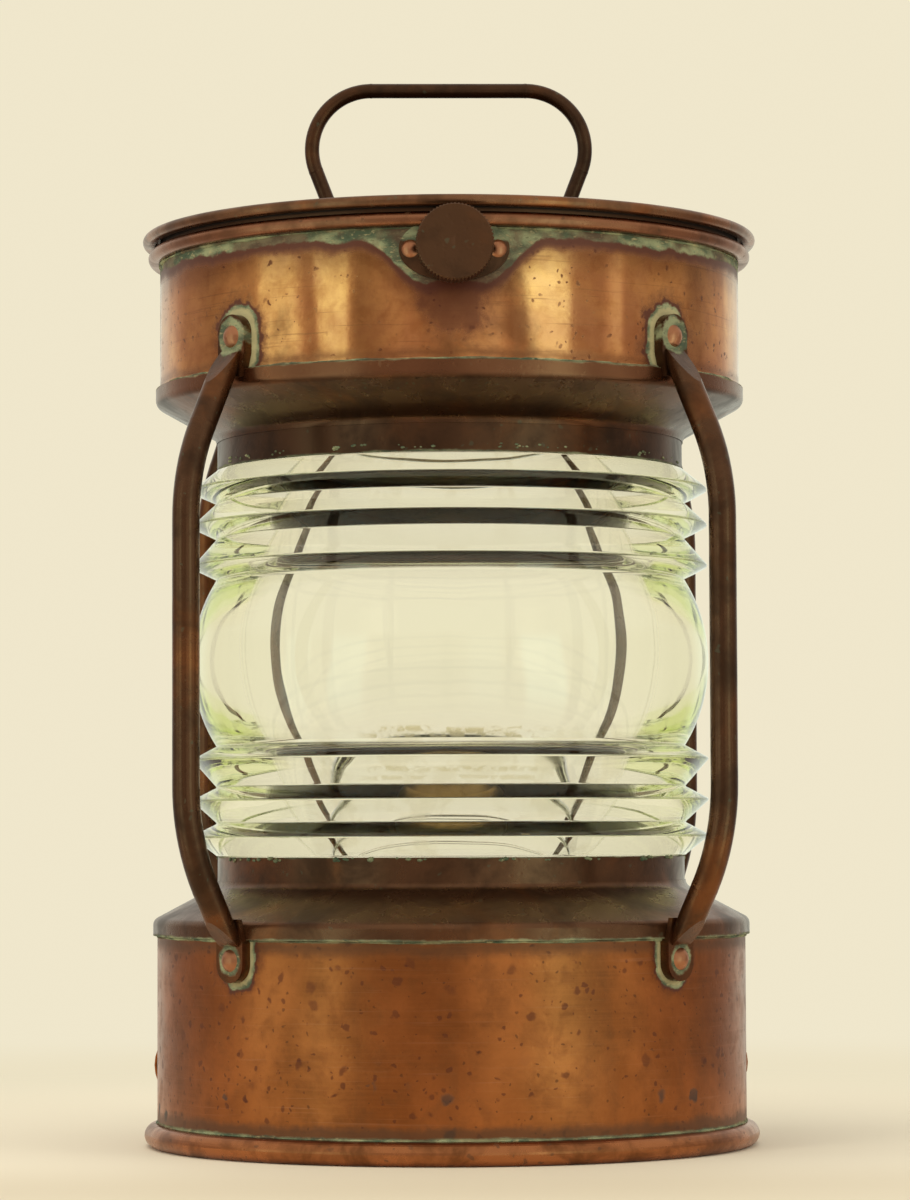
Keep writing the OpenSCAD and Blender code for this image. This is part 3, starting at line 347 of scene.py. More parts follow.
def shared(name):
    """The shared group of that name, built the first time it is asked for."""
    makers = {"mottle": mottle_group, "drips": drips_group, "spots": spots_group, "seam": seam_group,
              "rod_foot": rod_foot_group, "wear": wear_group, "sag": sag_group, "crust": crust_group}
    if name not in GROUPS:
        GROUPS[name] = makers[name]()
    return GROUPS[name]


def material(name):
    """An empty material; returns it with its tree, its Principled shader and Object coordinates."""
    made = bpy.data.materials.new(name)
    made.use_nodes = True
    tree = made.node_tree
    place = node(tree, "ShaderNodeTexCoord").outputs["Object"]
    return made, tree, tree.nodes["Principled BSDF"], place


def finish_shader(tree, shader, colour=None, rough=None, metal=None, height=None, depth=0.0, strength=1.0):
    """Links what changes over the surface to the shader."""
    for key, value in (("Base Color", colour), ("Roughness", rough), ("Metallic", metal)):
        if isinstance(value, bpy.types.NodeSocket):
            tree.links.new(value, shader.inputs[key])
        elif value is not None:
            shader.inputs[key].default_value = value
    if height is not None:
        bump = node(tree, "ShaderNodeBump", inputs={"Height": height, "Distance": depth, "Strength": strength})
        tree.links.new(bump.outputs[0], shader.inputs["Normal"])


def layer(tree, base, mask, colour, rough, metal, strength=1.0):
    """Lays a stain over (colour, roughness, metallic), where mask is 1."""
    amount = sums(tree, "MULTIPLY", mask, strength, clamp=True)
    under_colour, under_rough, under_metal = base
    return (blend(tree, amount, under_colour, colour),
            spread_mix(tree, amount, under_rough, rough),
            spread_mix(tree, amount, under_metal, metal))


def spread_mix(tree, amount, first, second):
    """A mix of two numbers."""
    made = node(tree, "ShaderNodeMix", data_type="FLOAT")
    for socket, value in ((made.inputs[0], amount), (made.inputs[2], first), (made.inputs[3], second)):
        if isinstance(value, bpy.types.NodeSocket):
            tree.links.new(value, socket)
        else:
            socket.default_value = value
    return made.outputs[0]


# Materials

SEAMS = {"upper": 231.0 * MM, "lower": 64.0 * MM, "rim": 269.4 * MM, "foot": 7.0 * MM}
UPPER_FLAT = (236 * MM, 241.8 * MM)
LOWER_FLAT = (57 * MM, 63 * MM)
# Heights of the rod ends' rivets, each with the reach of the crust round it
RIVETS = ((240.5 * MM, 3.5 * MM), (58 * MM, 2.3 * MM))


def crust_colour(tree, place, finish):
    """The colour of verdigris at each place."""
    return use(tree, shared("crust"), {"Vector": place, "Pale": full(finish.verdigris),
                                       "Dark": full(finish.moss), "Cream": full(finish.lime)})[0]


def band(tree, place, height, above, below, ragged, edge):
    """The mask of a ragged band round a seam; lengths in millimetres but the height."""
    return use(tree, shared("seam"), {"Vector": place, "Height": height, "Above": above * MM, "Below": below * MM,
                                     "Ragged": ragged * MM, "Edge": edge * MM})[0]


def rod_stain(tree, place, look, flat, heavy, finish):
    """Red oxide and green crust round the rods' flat ends, the wider the heavier."""
    crust = crust_colour(tree, place, finish)
    for reach, edge, colour, rough, metal, amount in (
            (8.0, 4.0, full(finish.oxide), 0.4, 0.7, 0.55), (4.7, 1.0, full(finish.oxide), 0.5, 0.4, 0.9),
            (3.3, 0.7, crust, 0.85, 0.05, 0.95), (2.5, 1.3, full(finish.lime), 0.85, 0.0, 0.75)):
        ring = use(tree, shared("rod_foot"), {"Vector": place, "Low": flat[0], "High": flat[1],
                                             "Reach": reach * heavy * MM, "Edge": edge * MM})[0]
        look = layer(tree, look, ring, colour, rough, metal, amount)
    return look


def head_copper(finish):
    """Old polished copper of the upper drum: soft dents, pink bloom, and green crust under the rim, with a painted
    shadow in the gap under the lid and painted shade under the lock knob.
    """
    made, tree, shader, place = material("head_copper")
    bloom = use(tree, shared("mottle"), {"Vector": place, "Scale": 26.0, "Low": 0.46, "High": 0.64})[0]
    cloud = use(tree, shared("mottle"), {"Vector": place, "Scale": 70.0, "Low": 0.46, "High": 0.72})[0]
    runs = use(tree, shared("drips"), {"Vector": place, "Across": 90.0, "Along": 12.0})[0]
    freckle = use(tree, shared("spots"), {"Vector": place, "Scale": 430.0, "Size": 0.3, "Share": 0.4})[0]
    herd = use(tree, shared("mottle"), {"Vector": place, "Scale": 34.0, "Low": 0.42, "High": 0.56})[0]
    pocks = use(tree, shared("spots"), {"Vector": place, "Scale": 120.0, "Size": 0.16, "Share": 0.72})[0]
    look = (blend(tree, sums(tree, "MULTIPLY", bloom, 0.3), full(finish.upper), full(finish.bloom)),
            spread_mix(tree, cloud, 0.09, 0.17), 1.0)
    smear = use(tree, shared("mottle"), {"Vector": place, "Scale": 190.0, "Low": 0.44, "High": 0.7})[0]
    ruddy = use(tree, shared("mottle"), {"Vector": place, "Scale": 15.0, "Low": 0.44, "High": 0.6})[0]
    look = layer(tree, look, ruddy, (0.40, 0.125, 0.06, 1.0), 0.13, 1.0, 0.5)
    look = layer(tree, look, cloud, full(finish.lower), 0.17, 1.0, 0.4)
    look = layer(tree, look, smear, full(finish.lower), 0.14, 1.0, 0.4)
    look = layer(tree, look, runs, full(finish.lower), 0.18, 1.0, 0.35)
    look = layer(tree, look, sums(tree, "MULTIPLY", freckle, herd), full(finish.oxide), 0.45, 0.7, 0.75)
    look = layer(tree, look, pocks, full(finish.oxide), 0.45, 0.7, 0.6)
    hairlines = use(tree, shared("drips"), {
        "Vector": place, "Across": 22.0, "Along": 1300.0, "Low": 0.6, "High": 0.7})[0]
    look = layer(tree, look, hairlines, full(finish.oxide), 0.3, 0.9, 0.3)
    smoke = use(tree, shared("mottle"), {"Vector": place, "Scale": 30.0, "Low": 0.54, "High": 0.68})[0]
    look = layer(tree, look, smoke, full(finish.patina), 0.2, 1.0, 0.4)
    crust = crust_colour(tree, place, finish)
    sagged = use(tree, shared("sag"), {"Vector": place})[0]
    patchy = use(tree, shared("mottle"), {"Vector": place, "Scale": 48.0, "Low": 0.40, "High": 0.54})[0]
    broken = sums(tree, "MULTIPLY_ADD", patchy, 0.6, 0.38)
    # The rod stain lies on the diagonals, so this turns one of them to the front, under the knob. It is painted shade:
    # a soft dark patch in red oxide colour beneath the lock knob.
    turned = node(tree, "ShaderNodeVectorRotate", rotation_type="Z_AXIS", inputs={
        "Vector": place, "Angle": math.radians(45)})
    for below, ragged, edge, colour, rough, metal, amount in (
            (16.0, 9.0, 11.0, full(finish.oxide), 0.22, 0.95, 0.55),
            (7.6, 6.0, 3.4, full(finish.oxide), 0.45, 0.35, 0.93), (3.5, 6.5, 0.9, crust, 0.85, 0.05, broken)):
        look = layer(tree, look, band(tree, sagged, SEAMS["rim"], 40.0, below, ragged, edge),
                     colour, rough, metal, amount)
    shade_below_knob = use(tree, shared("rod_foot"), {"Vector": turned.outputs[0], "Low": 247 * MM, "High": 252 * MM,
                                               "Half Width": 5 * MM, "Reach": 9 * MM, "Edge": 8 * MM})[0]
    look = layer(tree, look, shade_below_knob, full(finish.oxide), 0.4, 0.5, 0.75)
    up = node(tree, "ShaderNodeSeparateXYZ", inputs={0: place}).outputs["Z"]
    look = layer(tree, look, spread(tree, up, 271 * MM, 272 * MM), full(finish.patina), 0.4, 0.8, 1.0)
    # Painted shadow: the drum is painted nearly black above 274.6 mm, where it shows in the gap between the rim and the
    # lid.
    look = layer(tree, look, spread(tree, up, 274.6 * MM, 275.2 * MM), full(finish.soot_and_gap_shadow), 0.6, 0.4, 0.95)
    look = layer(tree, look, band(tree, place, SEAMS["upper"], 4.5, 1.0, 5.0, 3.0), full(finish.oxide), 0.35, 0.8, 0.5)
    look = layer(tree, look, band(tree, place, SEAMS["upper"], 0.7, 1.0, 1.4, 0.5), full(finish.lime), 0.85, 0.05, 0.8)
    look = rod_stain(tree, place, look, UPPER_FLAT, 1.0, finish)
    dents = node(tree, "ShaderNodeVectorMath", operation="MULTIPLY", inputs={0: place, 1: (1.0, 1.0, 0.3)})
    dent = node(tree, "ShaderNodeTexNoise", "dents", inputs={
        "Vector": dents.outputs[0], "Scale": 34.0, "Detail": 1.5, "Roughness": 0.45})
    grain = use(tree, shared("wear"), {"Vector": place, "Fineness": 700.0, "Pits": 0.25})[0]
    height = sums(tree, "MULTIPLY_ADD", grain, 0.012, dent.outputs[0])
    finish_shader(tree, shader, *look, height=height, depth=1.5 * MM, strength=1.0)
    return made


def base_copper(finish):
    """Worn, brushed copper of the base, with drips, spots and dark marks near the foot."""
    made, tree, shader, place = material("base_copper")
    cloud = use(tree, shared("mottle"), {"Vector": place, "Scale": 28.0, "Low": 0.38, "High": 0.66})[0]
    fine = use(tree, shared("mottle"), {"Vector": place, "Scale": 150.0, "Low": 0.42, "High": 0.72})[0]
    runs = use(tree, shared("drips"), {"Vector": place, "Across": 75.0, "Along": 10.0, "Low": 0.5, "High": 0.75})[0]
    brush = use(tree, shared("drips"), {"Vector": place, "Across": 14.0, "Along": 900.0, "Low": 0.4, "High": 0.75})[0]
    bright = tuple(1.15 * c for c in finish.lower)
    deep = tuple(0.72 * c for c in finish.lower)
    look = (blend(tree, cloud, full(deep), full(bright)), spread_mix(tree, fine, 0.3, 0.42), 1.0)
    look = layer(tree, look, fine, full(finish.patina), 0.42, 0.95, 0.3)
    look = layer(tree, look, brush, full(finish.lower), 0.32, 1.0, 0.45)
    look = layer(tree, look, runs, full(finish.patina), 0.42, 0.85, 0.2)
    for scale, reach, share, colour, amount in (
            (105.0, 0.2, 0.62, full(finish.oxide), 0.45), (210.0, 0.26, 0.6, full(finish.oxide), 0.6),
            (330.0, 0.28, 0.6, full(finish.oxide), 0.65), (520.0, 0.26, 0.75, full(finish.soot_and_gap_shadow), 0.5)):
        spots = use(tree, shared("spots"), {"Vector": place, "Scale": scale, "Size": reach, "Share": share})[0]
        look = layer(tree, look, spots, colour, 0.45, 0.7, amount)
    marks = use(tree, shared("spots"), {"Vector": place, "Scale": 95.0, "Size": 0.22, "Share": 0.6})[0]
    hairlines = use(tree, shared("drips"), {
        "Vector": place, "Across": 26.0, "Along": 1300.0, "Low": 0.6, "High": 0.7})[0]
    look = layer(tree, look, hairlines, full(finish.bloom), 0.3, 1.0, 0.14)
    low_down = spread(tree, node(tree, "ShaderNodeSeparateXYZ", inputs={0: place}).outputs["Z"], 34 * MM, 12 * MM)
    look = layer(tree, look, sums(tree, "MULTIPLY", marks, low_down), (0.007, 0.005, 0.004, 1.0), 0.5, 0.0, 0.95)
    crust = crust_colour(tree, place, finish)
    look = layer(tree, look, band(tree, place, SEAMS["foot"], 5.5, 2.0, 7.0, 3.0), full(finish.patina), 0.5, 0.6, 0.75)
    look = layer(tree, look, band(tree, place, SEAMS["foot"], 1.3, 1.0, 3.0, 0.8), crust, 0.85, 0.1, 0.8)
    look = layer(tree, look, band(tree, place, SEAMS["lower"], 2.0, 6.0, 6.0, 4.0), full(finish.patina), 0.5, 0.7, 0.7)
    look = layer(tree, look, band(tree, place, SEAMS["lower"], 2.0, 0.9, 2.0, 0.7), crust, 0.85, 0.1, 0.85)
    look = layer(tree, look, band(tree, place, SEAMS["lower"], 2.0, 0.6, 1.6, 0.5), full(finish.lime), 0.85, 0.0, 0.7)
    look = rod_stain(tree, place, look, LOWER_FLAT, 0.72, finish)
    grain = use(tree, shared("wear"), {"Vector": place, "Fineness": 800.0, "Pits": 0.5})[0]
    soft = node(tree, "ShaderNodeTexNoise", "soft dents", inputs={"Vector": place, "Scale": 18.0, "Detail": 1.0})
    height = sums(tree, "MULTIPLY_ADD", grain, 0.02, soft.outputs[0])
    finish_shader(tree, shader, *look, height=height, depth=2.2 * MM, strength=1.0)
    return made


def dark_patina(finish, name="dark_patina", shine=0.36, warm=0.2, bands=(), rivets=False, tone=1.0, painted_sheen_from=None):
    """Handled bronze brown of the fittings, with green bands at (height, above, below) each.

    Above a given height it is painted a lighter copper: painted sheen that stands for a bright reflection."""
    made, tree, shader, place = material(name)
    cloud = use(tree, shared("mottle"), {"Vector": place, "Scale": 60.0, "Low": 0.4, "High": 0.68})[0]
    rubbed = use(tree, shared("mottle"), {"Vector": place, "Scale": 24.0, "Low": 0.5, "High": 0.7})[0]
    specks = use(tree, shared("spots"), {"Vector": place, "Scale": 420.0, "Size": 0.25, "Share": 0.8})[0]
    look = (blend(tree, cloud, full(tuple(c * tone for c in finish.patina)),
                  full(tuple(c * tone * 0.5 for c in finish.patina))),
            spread_mix(tree, cloud, shine, shine + 0.14), 0.85)
    look = layer(tree, look, rubbed, full(finish.lower), shine + 0.05, 1.0, warm)
    look = layer(tree, look, specks, full(finish.moss), 0.7, 0.3, 0.3)
    # Painted sheen: lighter copper above the given height, standing for the bright reflection of a ring.
    if painted_sheen_from:
        up = node(tree, "ShaderNodeSeparateXYZ", inputs={0: place}).outputs["Z"]
        bright_copper = spread(tree, up, painted_sheen_from, painted_sheen_from + 1.5 * MM)
        look = layer(tree, look, bright_copper, (0.24, 0.095, 0.045, 1.0), shine, 1.0, 0.6)
    crust = crust_colour(tree, place, finish)
    for height, above, below in bands:
        look = layer(tree, look, band(tree, place, height, above, below, 3.0, 0.8), crust, 0.85, 0.1, 0.85)
    for height, reach in RIVETS if rivets else ():
        ring = use(tree, shared("rod_foot"), {"Vector": place, "Low": height, "High": height,
                                             "Half Width": 2.6 * MM, "Reach": reach, "Edge": 1.0 * MM})[0]
        look = layer(tree, look, ring, crust, 0.85, 0.1, 0.85)
    grain = use(tree, shared("wear"), {"Vector": place, "Fineness": 1000.0, "Pits": 0.7})[0]
    finish_shader(tree, shader, *look, height=grain, depth=0.06 * MM, strength=0.7)
    return made


def rubbed_copper(finish, name, bright_copper, worn=0.5):
    """Bare copper of the rivet heads and the rolled edges, which hands keep bright."""
    made, tree, shader, place = material(name)
    cloud = use(tree, shared("mottle"), {"Vector": place, "Scale": 70.0, "Low": 0.42, "High": 0.66})[0]
    specks = use(tree, shared("spots"), {"Vector": place, "Scale": 380.0, "Size": 0.3, "Share": 0.7})[0]
    look = (blend(tree, cloud, full(bright_copper), full(tuple(c * worn for c in bright_copper))),
            spread_mix(tree, cloud, 0.26, 0.4), 1.0)
    look = layer(tree, look, specks, full(finish.patina), 0.5, 0.6, 0.6)
    grain = use(tree, shared("wear"), {"Vector": place, "Fineness": 900.0, "Pits": 0.6})[0]
    finish_shader(tree, shader, *look, height=grain, depth=0.05 * MM, strength=0.7)
    return made


def dull_brass(finish):
    """Unpolished brass of the burner and the font, with smoke stains."""
    made, tree, shader, place = material("dull_brass")
    cloud = use(tree, shared("mottle"), {"Vector": place, "Scale": 55.0, "Low": 0.4, "High": 0.66})[0]
    stain = use(tree, shared("drips"), {"Vector": place, "Across": 120.0, "Along": 25.0})[0]
    look = (blend(tree, cloud, full(finish.brass), full(tuple(c * 0.7 for c in finish.brass))),
            spread_mix(tree, cloud, 0.34, 0.5), 1.0)
    look = layer(tree, look, stain, full(finish.patina), 0.55, 0.7, 0.5)
    grain = use(tree, shared("wear"), {"Vector": place, "Fineness": 850.0, "Pits": 0.4})[0]
    finish_shader(tree, shader, *look, height=grain, depth=0.05 * MM, strength=0.6)
    return made


def lens_glass(finish):
    """Thick moulded glass with a faint green body, a brown bloom inside and a few scuffs."""
    made, tree, shader, place = material("lens_glass")
    split = node(tree, "ShaderNodeSeparateXYZ", inputs={0: place}).outputs
    out = node(tree, "ShaderNodeVectorMath", operation="MULTIPLY", inputs={0: place, 1: (1.0, 1.0, 0.0)})
    radius = node(tree, "ShaderNodeVectorMath", operation="LENGTH", inputs={0: out.outputs[0]}).outputs["Value"]
    inner = spread(tree, radius, 67 * MM, 65.5 * MM)
    low = spread(tree, split["Z"], 131 * MM, 124 * MM)
    patch = use(tree, shared("mottle"), {"Vector": place, "Scale": 75.0, "Low": 0.46, "High": 0.6})[0]
    bloom = sums(tree, "MULTIPLY", sums(tree, "MULTIPLY", sums(tree, "MULTIPLY", inner, low), patch), 0.4)
    # Two dried tide lines at the front
    front = sums(tree, "MULTIPLY", spread(tree, sums(tree, "ABSOLUTE", split["X"]), 30 * MM, 20 * MM),
                 sums(tree, "LESS_THAN", split["Y"], 0.0))
    broken = sums(tree, "MULTIPLY", front, use(tree, shared("mottle"), {
        "Vector": place, "Scale": 260.0, "Low": 0.42, "High": 0.56})[0])
    for height, amount in ((125.0, 1.0), (113.5, 0.7)):
        line = sums(tree, "MULTIPLY", band(tree, place, height * MM, 1.3, 1.3, 2.5, 1.0), broken)
        bloom = sums(tree, "MAXIMUM", bloom, sums(tree, "MULTIPLY", line, amount))
    scuffs = use(tree, shared("drips"), {"Vector": place, "Across": 60.0, "Along": 160.0, "Low": 0.68, "High": 0.8})[0]
    colour = blend(tree, sums(tree, "MULTIPLY", bloom, 0.8), full(finish.glass), (0.62, 0.53, 0.25, 1.0))
    rough = sums(tree, "MULTIPLY_ADD", sums(tree, "MAXIMUM", scuffs, bloom), 0.12, 0.012)
    ripple = node(tree, "ShaderNodeTexNoise", "moulded ripple", inputs={
        "Vector": place, "Scale": 45.0, "Detail": 1.0})
    shader.inputs["Transmission Weight"].default_value = 1.0
    shader.inputs["IOR"].default_value = 1.52
    finish_shader(tree, shader, colour, rough, height=ripple.outputs[0], depth=0.2 * MM, strength=0.5)
    depth = node(tree, "ShaderNodeVolumeAbsorption", inputs={"Color": (0.87, 0.94, 0.57, 1.0), "Density": 10.5})
    output = next(n for n in tree.nodes if n.bl_idname == "ShaderNodeOutputMaterial")
    tree.links.new(depth.outputs[0], output.inputs["Volume"])
    return made


def old_packing():
    """Pale putty packing with a felted surface."""
    made, tree, shader, place = material("old_packing")
    felt = use(tree, shared("mottle"), {"Vector": place, "Scale": 320.0, "Low": 0.35, "High": 0.7})[0]
    colour = blend(tree, felt, (0.42, 0.38, 0.24, 1.0), (0.62, 0.57, 0.40, 1.0))
    grain = use(tree, shared("wear"), {"Vector": place, "Fineness": 1500.0, "Pits": 0.2})[0]
    finish_shader(tree, shader, colour, 0.9, 0.0, height=grain, depth=0.2 * MM)
    return made


def woven_cotton():
    """Flat woven wick with a scorched end."""
    made, tree, shader, place = material("woven_cotton")
    warp = node(tree, "ShaderNodeTexWave", "warp", wave_type="BANDS", bands_direction="X", inputs={
        "Vector": place, "Scale": 190.0, "Distortion": 0.6, "Detail": 1.0}).outputs["Fac"]
    weft = node(tree, "ShaderNodeTexWave", "weft", wave_type="BANDS", bands_direction="Z", inputs={
        "Vector": place, "Scale": 230.0, "Distortion": 0.6, "Detail": 1.0}).outputs["Fac"]
    weave = sums(tree, "MULTIPLY", warp, weft)
    scorch = spread(tree, node(tree, "ShaderNodeSeparateXYZ", inputs={0: place}).outputs["Z"], 72 * MM, 79 * MM)
    cotton = blend(tree, weave, (0.42, 0.37, 0.27, 1.0), (0.72, 0.67, 0.54, 1.0))
    colour = blend(tree, scorch, cotton, (0.015, 0.012, 0.010, 1.0))
    finish_shader(tree, shader, colour, 0.95, 0.0, height=weave, depth=0.3 * MM)
    return made


def green_crust(finish, name="green_crust", soiled=0.8):
    """Powdery verdigris crust."""
    made, tree, shader, place = material(name)
    dirt = use(tree, shared("mottle"), {"Vector": place, "Scale": 48.0, "Low": 0.46, "High": 0.66})[0]
    colour = blend(tree, sums(tree, "MULTIPLY", dirt, soiled), crust_colour(tree, place, finish), full(finish.patina))
    grain = use(tree, shared("wear"), {"Vector": place, "Fineness": 1600.0, "Pits": 0.6})[0]
    finish_shader(tree, shader, colour, 0.92, 0.0, height=grain, depth=0.15 * MM)
    return made


# Making pieces

def piece(name, mesh_maker, body, finish_material, replaced=()):
    """Makes an object from a bmesh, gives it its finish, and hands it to the frame."""
    mesh = bpy.data.meshes.new(name)
    bm = bmesh.new()
    mesh_maker(bm)
    bmesh.ops.recalc_face_normals(bm, faces=bm.faces)
    bm.to_mesh(mesh)
    bm.free()
    for face in mesh.polygons:
        face.use_smooth = True
    made = bpy.data.objects.new(name, mesh)
    bpy.context.scene.collection.objects.link(made)
    mesh.materials.append(finish_material)
    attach(made, body)
    if replaced:
        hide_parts(*replaced)
    return made


def dress(names, finish_material):
    """Gives CAD nodes their finish."""
    for name in names:
        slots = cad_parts[name].material_slots
        for slot in slots:
            slot.material = finish_material
        if not slots:
            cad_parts[name].data.materials.append(finish_material)


def chain(bm, points):
    """Vertices joined in a line, at (radius, height) places in the XZ plane."""
    verts = [bm.verts.new((r, 0, z)) for r, z in points]
    for pair in zip(verts, verts[1:]):
        bm.edges.new(pair)
    return verts


def revolve(bm, steps, angle=math.tau, rise=(0, 0, 0), geometry=None, centre=(0, 0, 0), axis=(0, 0, 1)):
    """Spins the edges of a profile round an axis, merged where it closes."""
    geometry = geometry or list(bm.verts) + list(bm.edges)
    whole = math.isclose(angle, math.tau) and not any(rise)
    return bmesh.ops.spin(bm, geom=geometry, cent=centre, axis=axis, dvec=rise, angle=angle,
                          steps=steps, use_merge=whole)


# Operators: glass

class LAMP_OT_lens(bpy.types.Operator):
    """Moulded lens: a belly between three prism ribs above and three below"""
    bl_idname = "lamp.lens"
    bl_label = "Lens"

    def execute(self, context):
        lens = context.scene.lamp_lens
        low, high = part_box("lens")
        middle = (low.z + high.z) / 2

        def rib(root, following):
            return [(lens.root, root), (lens.tip, root + lens.rib_rise),
                    (lens.tip, root + lens.rib_rise + lens.tip_flat),
                    (lens.root + 0.2 * MM, following - 0.3 * MM)]

        def shape(bm):
            bulge = lens.belly - lens.root
            arc_radius = (lens.belly_half ** 2 + bulge ** 2) / (2 * bulge)
            lean = math.asin(lens.belly_half / arc_radius)
            top = [*rib(lens.belly_half, lens.second_root), *rib(lens.second_root, lens.third_root),
                   *rib(lens.third_root, lens.half_height), (lens.root, lens.half_height),
                   (lens.spigot, lens.half_height), (lens.spigot, lens.half_height + lens.spigot_length)]
            end = top[-1][1]
            ring = chain(bm, [(r, middle - z) for r, z in top])
            ring += chain(bm, [(lens.inside, middle - end), (lens.inside, middle + end)])
            ring += chain(bm, [(r, middle + z) for r, z in reversed(top)])
            count = len(top)
            bm.edges.new((ring[count - 1], ring[count]))
            bm.edges.new((ring[count + 1], ring[count + 2]))
            bmesh.ops.bevel(bm, geom=[v for v in bm.verts if v not in (ring[0], ring[-1])],
                            affect="VERTICES", offset=lens.edge_round, segments=2, profile=0.5, material=-1)
            start = min(bm.verts, key=lambda v: (v.co - Vector((lens.root, 0, middle - lens.belly_half))).length)
            revolve(bm, 40, angle=-2 * lean, geometry=[start],
                    centre=(lens.belly - arc_radius, 0, middle), axis=(0, 1, 0))
            bmesh.ops.remove_doubles(bm, verts=bm.verts, dist=0.02 * MM)
            revolve(bm, lens.steps)
            bmesh.ops.remove_doubles(bm, verts=bm.verts, dist=0.005 * MM)

        piece("lens_glass", shape, "lantern", lens_glass(context.scene.lamp_finish), ["lens"])
        return {"FINISHED"}


# Operators: metalwork

class LAMP_OT_copperwork(bpy.types.Operator):
    """Copper drums and rims: the bright head and the worn base"""
    bl_idname = "lamp.copperwork"
    bl_label = "Copperwork"

    def execute(self, context):
        finish = context.scene.lamp_finish
        dress(["upper_drum"], head_copper(finish))
        dress(["base_drum", "base_plate", "air_scoops"], base_copper(finish))
        dress(["foot_ring"], rubbed_copper(finish, "foot_copper", (0.40, 0.145, 0.055)))
        dress(["body_rim"], rubbed_copper(finish, "rim_copper", (0.30, 0.125, 0.062), 0.6))
        dress(["rod_rivets", "lock_plate_rivets"], rubbed_copper(finish, "rivet_copper", (0.50, 0.21, 0.105), 0.75))
        return {"FINISHED"}


class LAMP_OT_fittings(bpy.types.Operator):
    """Dark fittings: shoulders, collars, guard rods, handle, hinge, lock and lid"""
    bl_idname = "lamp.fittings"
    bl_label = "Fittings"

    def execute(self, context):
        finish = context.scene.lamp_finish
        dark = dark_patina(finish)
        dress(["rod_front_left", "rod_front_right", "rod_rear_left", "rod_rear_right"],
              dark_patina(finish, "rod_patina", 0.25, 0.38, rivets=True))
        dress(["handle"], dark_patina(finish, "handle_patina", 0.28, 0.2, tone=0.7))
        dress(["lid_edge"], dark_patina(finish, "edge_patina", 0.24, 0.7, tone=2.4))
        dress(["handle_ears", "ear_rivets", "hinge_body_leaf", "hinge_body_rivets", "hinge_pin",
               "hinge_lid_leaf", "hinge_lid_rivets", "lock_bush", "lock_knob"], dark)
        dress(["lid_plate", "lid_skirt", "vent_hood", "vent_posts", "draught_plate", "draught_studs"],
              dark_patina(finish, "lid_patina", 0.3, 0.4))
        dress(["base_shoulder"], dark_patina(finish, "base_shoulder_patina", 0.26, 0.3,
                                             [(SEAMS["lower"] + 0.4 * MM, 0.4, 1.6)], tone=1.25))
        # The upper shoulder's ring above 226 mm gets painted sheen: lighter copper for its bright reflection.
        dress(["upper_shoulder"], dark_patina(finish, "head_shoulder_patina", 0.25, 0.3,
                                              [(SEAMS["upper"], 1.2, 0.4)], tone=1.0, painted_sheen_from=226 * MM))
        dress(["lower_collar"], dark_patina(finish, "lower_collar_patina", 0.27, 0.4, [(88 * MM, 1.5, 0.6)], tone=1.15))
        dress(["upper_collar"], dark_patina(finish, "upper_collar_patina", 0.3, 0.2, [(206 * MM, 0.8, 1.5)], tone=0.8))
        dress(["lock_plate"], dark_patina(finish, "lock_plate_patina", 0.4, 0.1, [(269 * MM, 2.0, 4.0)]))
        return {"FINISHED"}


class LAMP_OT_lock_screw(bpy.types.Operator):
    """Lock screw with its cut thread"""
    bl_idname = "lamp.lock_screw"
    bl_label = "Lock Screw"

    def execute(self, context):
        screw = context.scene.lamp_screw
        low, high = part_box("lock_screw")
        height = (low.z + high.z) / 2
        root = screw.crest - screw.depth
        knob_low, knob_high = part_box("lock_knob")
        knob_back = knob_high.y

        def shape(bm):
            length = high.y - knob_back
            chain(bm, [(0, 0), (screw.crest - 1 * MM, 0), (screw.crest - screw.depth, 0.4 * MM),
                       (root, length), (root, length + 2 * MM), (0, length + 2 * MM)])
            revolve(bm, screw.steps)
            start = 0.9 * MM
            turns = (length - start - screw.plain) / screw.pitch
            profile = chain(bm, [(root - 0.2 * MM, start), (screw.crest, start + 0.42 * screw.pitch),
                                 (screw.crest, start + 0.55 * screw.pitch),
                                 (root - 0.2 * MM, start + 0.97 * screw.pitch)])
            loop = [bm.edges.new((profile[-1], profile[0]))]
            face = bmesh.ops.contextual_create(bm, geom=profile)["faces"]
            edges = loop + [e for e in bm.edges if e.verts[0] in profile and e.verts[1] in profile]
            steps = round(turns * screw.steps)
            revolve(bm, steps, angle=math.tau * turns, rise=(0, 0, screw.pitch / screw.steps),
                    geometry=face + list(set(edges)) + profile)
            bmesh.ops.remove_doubles(bm, verts=bm.verts, dist=0.002 * MM)
            # From its own axis to the lamp's: +Z of the screw points out to the front
            bmesh.ops.transform(bm, matrix=Matrix.Translation((0, high.y, height))
                                @ Matrix.Rotation(math.radians(90), 4, "X"), verts=bm.verts)

        piece("threaded_screw", shape, "lock_screw",
              dark_patina(context.scene.lamp_finish, "screw_patina", 0.3, 0.4), ["lock_screw"])
        return {"FINISHED"}


class LAMP_OT_burner(bpy.types.Operator):
    """Brass oil font and burner, with the packing of the lens and the wick"""
    bl_idname = "lamp.burner"
    bl_label = "Burner"

    def execute(self, context):
        brass = dull_brass(context.scene.lamp_finish)
        dress(["font", "font_clips", "font_loop", "burner", "burner_cone", "wick_wheels", "thumb_wheel",
               "lock_washer"], brass)
        dress(["lower_packing", "upper_packing"], old_packing())
        dress(["wick"], woven_cotton())
        return {"FINISHED"}


# Operators: age

